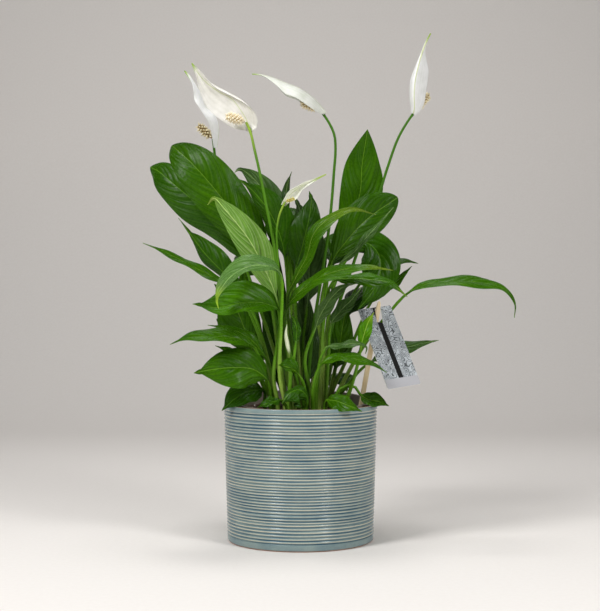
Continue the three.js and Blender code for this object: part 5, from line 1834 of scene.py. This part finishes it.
# ---- where everything grows ----
# Each leaf: its foot on the soil, the seen points of its stalk, and of its midrib from the
# blade's base to the tip, then its half-widths and how its halves are turned. Leaves of one node
# have grown from one foot.
LEAVES = [
    # tall leaves on the left
    Leaf("leaf_left_far", (-15, 13), [(-22, 165, 14), (-40, 220, 12)], [(-51, 252, 10), (-61, 276, 9),
         (-79, 297, 9), (-99, 313, 11), (-118, 329, 17), (-131, 340, 27), (-139, 344, 39)], (21, 20),
         (20, 10), Tone.DEEP, peak=0.56, tail=0, fullness=0.6),
    Leaf("leaf_left_upper", (-14, 2), [(-20, 170, 2), (-27, 218, -2)], [(-33, 250, -5), (-46, 280, -7),
         (-63, 303, -8), (-83, 328, -7), (-101, 348, 0), (-113, 359, 10), (-119, 364, 21)], (23, 24),
         (-5, 15), peak=0.54, tail=0, fullness=0.62, phase=1, unroll=(0, -10)),
    Leaf("leaf_left_striped", (-14, -11), [(-18, 160, -16), (-19, 200, -22)], [(-22, 222, -26),
         (-34, 252, -31), (-47, 276, -34), (-59, 292, -34), (-71, 306, -31), (-80, 315, -24),
         (-86, 309, -18)], (14, 15), tone=Tone.BRIGHT, face=-1),
    Leaf("leaf_left_pointed", (-21, -5), [(-29, 160, -9), (-42, 205, -18)], [(-55, 228, -24),
         (-68, 243, -27), (-80, 255, -29), (-90, 266, -30), (-101, 281, -29), (-113, 297, -26)], (9, 14),
         (45, 10), Tone.DEEP, tail=0.18),
    Leaf("leaf_left_grey", (-5, 17), [(-7, 180, 20), (-10, 240, 22)], [(-14, 268, 22), (-21, 295, 22),
         (-31, 317, 22), (-44, 334, 20), (-56, 342, 16), (-61, 339, 12)], (14, 15), (-10, 10), Tone.GREY,
         phase=2),
    Leaf("leaf_left_inner", (-8, 4), [(-11, 180, -2), (-12, 235, -9)], [(-14, 258, -12), (-19, 281, -15),
         (-29, 303, -17), (-43, 321, -17), (-57, 333, -14)], (11, 18), (35, -5), Tone.DEEP, phase=3),
    Leaf("leaf_left_narrow", (-23, -18), [(-31, 165, -24), (-45, 205, -32)], [(-60, 231, -38),
         (-80, 242, -41), (-103, 254, -43), (-125, 265, -43), (-146, 274, -41)], (7, 7), (-60, 55)),
    Leaf("leaf_left_level", (-20, -32), [(-25, 150, -40), (-20, 190, -47)], [(-19, 210, -52),
         (-33, 218, -58), (-53, 218.5, -66), (-78, 214, -72), (-100, 217.5, -76)], (16, 21), (-58, 20),
         peak=0.45, unroll=(3, 5)),
    Leaf("leaf_left_behind", (-26, 4), [(-36, 148, -4)], [(-44, 172, -13), (-51, 192, -16), (-59, 212, -17),
         (-68, 226, -18), (-80, 236, -16)], (22, 16), (5, 15)),
    Leaf("leaf_left_low", (-27, -20), [(-31, 145, -28), (-37, 163, -40)], [(-42, 176, -48), (-57, 185, -55),
         (-80, 187.5, -62), (-102, 186.5, -66), (-121, 180, -68)], (13, 13), (-68, 55)),
    Leaf("leaf_left_low", (-26.2, -20.6), [(-25, 145, -30)], [(-31, 165, -36), (-43, 182, -40),
         (-56, 191, -44), (-70, 195, -46), (-86, 198, -48)], (7, 7), (-50, 50), Tone.BRIGHT),
    Leaf("leaf_left_glossy", (-27, -29), [(-28, 135, -36)], [(-30, 146, -42), (-44, 157, -50),
         (-62, 158.5, -56), (-80, 157, -60), (-99, 153.5, -62)], (19, 18), (-15, 15), peak=0.46),
    Leaf("leaf_left_behind", (-26, 3), [(-34, 140, -4)], [(-42, 157, -11), (-58, 170, -17), (-79, 179, -20)],
         (7, 7), (-50, 50)),
    Leaf("leaf_left_behind", (-25.2, 4.6), [(-30, 145, 9)], [(-34, 160, 13), (-42, 185, 17), (-48, 212, 19),
         (-51, 238, 20), (-53, 262, 20)], (14, 9), (0, 0), Tone.DEEP),
    Leaf("leaf_rim_left", (-33, -12), [], [(-34, 137, -22), (-46, 137, -30), (-60, 130, -36),
         (-73, 118.5, -39)], (13, 15), (-45, 30), Tone.DEEP, unroll=(10, 5)),
    # the front of the crown
    Leaf("leaf_front_arch", (-13, -34), [(-19, 150, -42), (-18, 200, -52), (-17, 229, -60)],
         [(-18, 243, -64), (-24, 250.5, -68), (-38, 253.5, -73), (-51, 251, -79), (-63, 244, -86),
         (-72, 233.5, -90), (-77, 222, -93), (-76, 213, -93)], (9, 14), (-60, 45), Tone.GREY, peak=0.4,
         unroll=(15, -5)),
    Leaf("leaf_front_small", (-11.6, -42.6), [], [(-18, 128, -46), (-24, 127.5, -50), (-32, 125, -54),
         (-40, 121.5, -57)], (6, 6), (-60, 40), Tone.DEEP),
    Leaf("leaf_front_dome", (2, -45), [], [(6, 125, -49), (6, 132, -51), (-1, 138, -54), (-10, 135, -57),
         (-17.5, 125, -59)], (16, 8), (-8, 70), Tone.DEEP, peak=0.5),
    Leaf("leaf_front_fold", (5, -36), [(3, 143, -44)], [(-1, 151, -50), (-7, 157, -55), (-14, 159.5, -59),
         (-21, 161, -61)], (4, 9), (-30, 10), peak=0.55, unroll=(0, 10)),
    Leaf("leaf_front_small", (-11, -42), [(-9, 150, -46), (-6, 168, -50)], [(-4.5, 180, -52),
         (-3.5, 194, -53), (-6, 203, -54), (-10, 209, -54)], (4, 4), tone=Tone.BRIGHT),
    Leaf("leaf_centre_long", (-5, -31), [(-13, 150, -38), (-16, 190, -45)], [(-13, 211, -50), (-4, 226, -56),
         (14, 240, -63), (38, 249, -68), (62, 251.5, -72), (86, 248.5, -74)], (14, 14), (68, -62),
         Tone.BRIGHT),
    Leaf("leaf_centre_lime", (1, -19), [(-3, 150, -21), (-10, 195, -31)], [(-12, 222, -40), (-4, 243, -44),
         (6, 262, -48), (12, 282, -51), (27, 297, -53), (48, 305, -52), (70, 300, -49)], (8, 12), (60, -45),
         Tone.BRIGHT, peak=0.5, unroll=(-10, -15)),
    Leaf("leaf_centre_upright", (-1, -10), [(-2, 170, -14), (-5, 225, -19)], [(-4, 250, -21), (1, 268, -22),
         (6, 288, -23), (9, 303, -22), (10, 314, -20), (8, 322, -18)], (15, 14), (5, -5), Tone.DEEP),
    Leaf("leaf_centre_back", (0, 10), [(2, 180, 12)], [(6, 215, 13), (8, 243, 14), (7, 270, 15),
         (1, 300, 16), (-6, 318, 16)], (15, 17), (0, 0), Tone.GREY, peak=0.46),
    Leaf("leaf_centre_back", (0.8, 9.4), [(-3, 185, 8), (-9, 250, 4)], [(-13, 290, 1), (-14, 312, 0),
         (-12, 328, 0), (-8, 340, 1)], (5, 4), tone=Tone.BRIGHT),
    Leaf("leaf_centre_back", (0.4, 10.8), [], [(3, 140, 12), (4, 165, 15), (4, 200, 17), (5, 238, 18)],
         (19, 14), (0, 0), Tone.DEEP, peak=0.36),
    # the right side
    Leaf("leaf_right_tall", (10, 16), [(14, 170, 18), (21, 230, 22)], [(32, 270, 24), (46, 294, 24),
         (55, 320, 22), (57, 346, 20), (60, 366, 16), (62, 379, 11)], (19, 21), (0, 5), peak=0.52, tail=0,
         fullness=0.95, unroll=(-5, -10)),
    Leaf("leaf_right_round", (15, 3), [(18, 165, 1), (23, 225, -1)], [(29, 256, -3), (42, 275, -7),
         (55, 290, -9), (68, 301, -9), (81, 310, -9), (90, 316, -12)], (20, 17), (0, 0), peak=0.58, tail=0,
         fullness=0.6, phase=2),
    Leaf("leaf_right_hanging", (21, 13), [(24, 170, 18), (30, 230, 24)], [(45, 262, 30), (60, 274, 29),
         (72, 264, 24), (74, 247, 19), (66, 228, 14), (53, 212, 9)], (19, 19), tone=Tone.DEEP, peak=0.46),
    Leaf("leaf_right_long", (31, -2), [(42, 150, 2), (62, 184, 1), (86, 214, -4)], [(95, 224, -7),
         (112, 234.5, -9), (136, 238, -10), (165, 237.5, -10), (187, 232, -10), (198, 218, -10),
         (198, 204.5, -10)], (14, 14), (68, -68), peak=0.5),
    Leaf("leaf_right_low", (32, 8), [(42, 140, 10), (54, 155, 11)], [(64, 163, 11), (84, 173.5, 10),
         (105, 179, 9), (128, 184, 7)], (9, 9), (50, -50), Tone.GREY),
    Leaf("leaf_right_arrow", (17, -17), [(19, 160, -22), (22, 205, -32)], [(30, 238, -42), (48, 241, -47),
         (65, 240, -51), (82, 237, -54), (99, 224, -56)], (10, 10), (58, -52), phase=1),
    Leaf("leaf_right_rising", (22, -10), [(22, 165, -12), (27, 215, -19)], [(36, 253, -25), (50, 266, -27),
         (62, 280, -27), (75, 294, -26), (86, 307, -24)], (5, 5), (50, -50), Tone.GREY),
    Leaf("leaf_right_grey", (13, -29), [(4, 165, -34)], [(13, 194, -38), (21, 212, -40), (31, 226, -41),
         (41, 234, -41), (51, 236, -40)], (7, 8), (-40, 30), Tone.GREY),
    Leaf("leaf_right_rising", (22.8, -10.4), [(26, 170, -16)], [(28, 198, -20), (38, 212, -22),
         (48, 222, -22), (56, 232, -21)], (7, 7), (30, -30), Tone.DEEP),
    Leaf("leaf_right_arching", (11, -39), [(12, 140, -46)], [(18, 160, -54), (31, 168, -58), (48, 167, -62),
         (65, 162.5, -63), (80, 154, -62)], (11, 11), (66, -68)),
    Leaf("leaf_right_grey", (13.8, -29.5), [(16, 150, -38), (19, 168, -45)], [(24, 177, -48), (38, 179, -52),
         (52, 181, -55), (61, 177, -57), (60, 171, -57)], (6, 6), (60, -60), Tone.BRIGHT),
    Leaf("leaf_right_tag", (40, -25), [(46, 138, -32), (53, 162, -41)], [(56, 178, -45), (59, 190, -48),
         (62.5, 200, -49), (68, 210, -49)], (6, 6), (5, -5), Tone.BRIGHT),
    Leaf("leaf_rim_right_front", (22, -38), [], [(24, 128, -46), (32, 128, -54), (44, 123.5, -61),
         (57, 118, -64)], (8, 9), (30, -35)),
    Leaf("leaf_rim_right", (29, -24), [(36, 138, -27), (43, 142, -28), (50, 141, -28)], [(55, 134, -28),
         (62, 129.5, -29), (72, 127, -31), (82, 123, -32)], (8, 7), (20, -40)),
    # the back of the crown
    Leaf("leaf_back_tips", (27, 20), [(36, 175, 34), (44, 215, 44)], [(55, 236, 48), (76, 251, 50),
         (95, 257, 48), (109, 255, 46)], (14, 14), (65, -65)),
    Leaf("leaf_back_tips", (27.5, 19.5), [(42, 165, 30), (56, 200, 32)], [(66, 220, 33), (82, 234, 34),
         (94, 243, 34), (103, 252.5, 32)], (11, 11), (65, -65), Tone.DEEP),
    Leaf("leaf_back_tips", (26.4, 20.4), [(29, 142, 24)], [(32, 156, 26), (36, 175, 28), (39, 196, 28),
         (44, 218, 26)], (13, 12), (0, 0), Tone.DEEP),
    Leaf("leaf_back_left", (-14, 24), [(-20, 180, 40), (-28, 222, 54)], [(-34, 242, 64), (-44, 262, 82),
         (-52, 267, 104), (-58, 256, 128)], (21, 21), side=(-0.8, 0.1, -0.5)),
    Leaf("leaf_back_left", (-13.3, 24.6), [], [(-18.5, 138, 28.5), (-20, 170, 32), (-23, 210, 36),
         (-25, 255, 36), (-28, 298, 31)], (14, 14), (0, 0), Tone.DEEP, peak=0.3),
    Leaf("leaf_back_middle", (-2, 26), [(-3, 190, 36), (-6, 240, 44)], [(-8, 262, 49), (-12, 291, 60),
         (-15, 306, 78), (-16, 300, 100)], (22, 22), tone=Tone.DEEP, phase=2, side=(-1, 0, 0)),
    Leaf("leaf_back_right", (11, 27), [(17, 190, 38), (24, 235, 46)], [(29, 252, 51), (38, 274, 64),
         (45, 286, 84), (49, 281, 108)], (21, 21), phase=1, side=(-0.9, 0.2, 0)),
    Leaf("leaf_back_right_low", (23, 32), [(34, 180, 44)], [(44, 206, 54), (54, 226, 70), (61, 233, 92),
         (64, 228, 116)], (18, 18), tone=Tone.DEEP, side=(-0.7, 0.5, 0)),
    Leaf("leaf_back_left_low", (-24, 20), [(-36, 165, 34)], [(-45, 186, 44), (-56, 201, 58), (-64, 205, 78),
         (-68, 196, 102)], (19, 19), tone=Tone.DEEP, side=(-0.6, -0.7, 0)),
    Leaf("leaf_back_low", (5, 35), [(4, 145, 46)], [(3, 165, 56), (0, 183, 72), (-4, 187, 96),
         (-8, 172, 122)], (19, 19), side=(-1, 0, 0)),
    Leaf("leaf_back_low", (4.2, 34.4), [(-8, 150, 50)], [(-18, 166, 58), (-30, 174, 72), (-40, 170, 92),
         (-48, 154, 112)], (16, 16), tone=Tone.BRIGHT, side=(-0.8, -0.4, 0)),
    Leaf("leaf_back_right_low", (23.7, 32.8), [], [(27, 140, 50), (33, 152, 62), (39, 150, 82),
         (43, 136, 104)], (15, 15), side=(-0.9, 0.3, 0)),
]

# Each bloom: its foot, its stem, the three lines of its spathe, and the ends of spathe and spadix.
BLOOMS = [
    Bloom("bloom_far_left", (-10, 22), [(-22, 200, 30), (-46, 265, 32), (-68, 322, 28), (-79, 354, 22),
          (-80, 362, 20), (-81, 370, 19)], left=[(-83, 378, 10), (-86.5, 388, 6), (-93, 397, 6),
          (-98, 406, 10), (-99, 418, 14)], rib=[(-76, 381, 25), (-79, 391, 26), (-88, 400, 26),
          (-93, 413, 24), (-103, 429, 20)], right=[(-78, 380, 36), (-82, 391, 40), (-90, 401, 38),
          (-96, 413, 30), (-101, 424, 23)], tip=(-108, 433.5, 19), spadix=(-96, 384, 13), radius=5.6, face=1,
          floret_rise=3.6, floret_girth=0.4),
    Bloom("bloom_left", (-6, -20), [(-11, 150, -28), (-15, 180, -34), (-19, 225, -41), (-25, 275, -44),
          (-30.5, 303, -45), (-37.5, 338, -42), (-42.5, 360, -38), (-46.5, 377, -35), (-50.5, 385.5, -35)],
          left=[(-50, 377.5, -30), (-60, 379.5, -30), (-73, 387, -28), (-86, 398, -26), (-93, 414, -24),
          (-97, 429, -21)], rib=[(-49.5, 387, -28), (-55.5, 397, -25), (-64, 407.5, -20), (-76, 414, -17),
          (-89, 424, -17), (-97, 434, -18)], right=[(-41, 380, -34), (-39.5, 387, -36), (-46, 398, -36),
          (-63, 410, -29), (-80, 419, -23), (-94, 434, -20)], tip=(-101, 441, -18), spadix=(-70, 392, -41),
          radius=5.6),
    Bloom("bloom_middle", (6, -3), [(10, 180, -3), (19, 240, -3), (26, 285, -3), (28.5, 308, -3),
          (31, 340, -3), (32.4, 360, -3), (31.5, 373, -3), (28, 382, -2), (21.5, 392.5, -2), (18, 397, -2)],
          left=[(15, 395, -10), (8, 400, -16), (-3, 407.5, -18), (-14, 411.5, -15), (-23, 420.5, -10),
          (-34, 428, -5)], rib=[(19, 399.5, 0), (11, 408, 0), (0, 416, 0), (-12, 421, 0), (-26, 426.5, 0),
          (-37, 429.5, 0)], right=[(16, 396, 9), (9, 399, 16), (-3, 406, 18), (-14, 410, 15), (-23, 420, 10),
          (-34, 428, 5)], tip=(-46, 430, 0), spadix=(-1, 403.5, -2), radius=4.8, face=1),
    Bloom("bloom_right", (17, 9), [(30, 200, 14), (48, 252, 12), (62, 292, 9), (73, 320, 8), (80, 342, 6),
          (90, 370, 4), (99, 386, 3), (104, 393, 3), (106.5, 397, 4)], left=[(102, 399, 4), (100.5, 409, 6),
          (101.5, 424, 7), (106.5, 435, 7), (111, 448, 6), (114, 457, 5)], rib=[(105.3, 399, -2),
          (105, 410, -4), (106, 424, -5), (109, 438, -4), (112.5, 450, 0), (115.5, 458, 3)],
          right=[(109.5, 395, 5), (114, 402, 8), (117, 418, 10), (118, 432, 10), (115.5, 447, 7),
          (116.5, 457, 5)], tip=(121, 469, 4), spadix=(119, 411.5, 23), radius=5.0, face=1, floret_rise=3.3,
          floret_girth=0.42),
    Bloom("bloom_young", (3, -27), [(-9, 170, -38), (-18, 225, -47), (-21, 262, -50), (-22, 285, -50),
          (-19.5, 300, -50), (-16, 308.5, -50), (-14, 312, -50.5)], left=[(-15, 315, -52), (-9, 323, -54),
          (-1, 328, -53), (7.2, 331, -51.5)], rib=[(-13, 314, -47.5), (-8, 320, -47), (0, 325.5, -47),
          (8.8, 330, -49)], right=[(-10.5, 311, -49.5), (-4, 314.5, -51), (1.5, 321.5, -53),
          (8.3, 328, -51.5)], tip=(25, 338, -50), spadix=(-5, 315, -58), radius=2.3, thick=0.75),
]


def main() -> None:
    """Builds every sub-assembly in order."""
    logging.basicConfig(level=logging.INFO, format="%(name)s: %(message)s")
    studio = Studio()
    studio.place_camera()
    studio.lay_floor()
    GlazedPot().build()
    NURSERY.build_pot()
    NURSERY.build_soil()
    Foliage(LEAVES).build()
    Flowers(BLOOMS).build()
    Stick().build()
    Tag().build()
    studio.light()


if __name__ == "__main__":
    main()
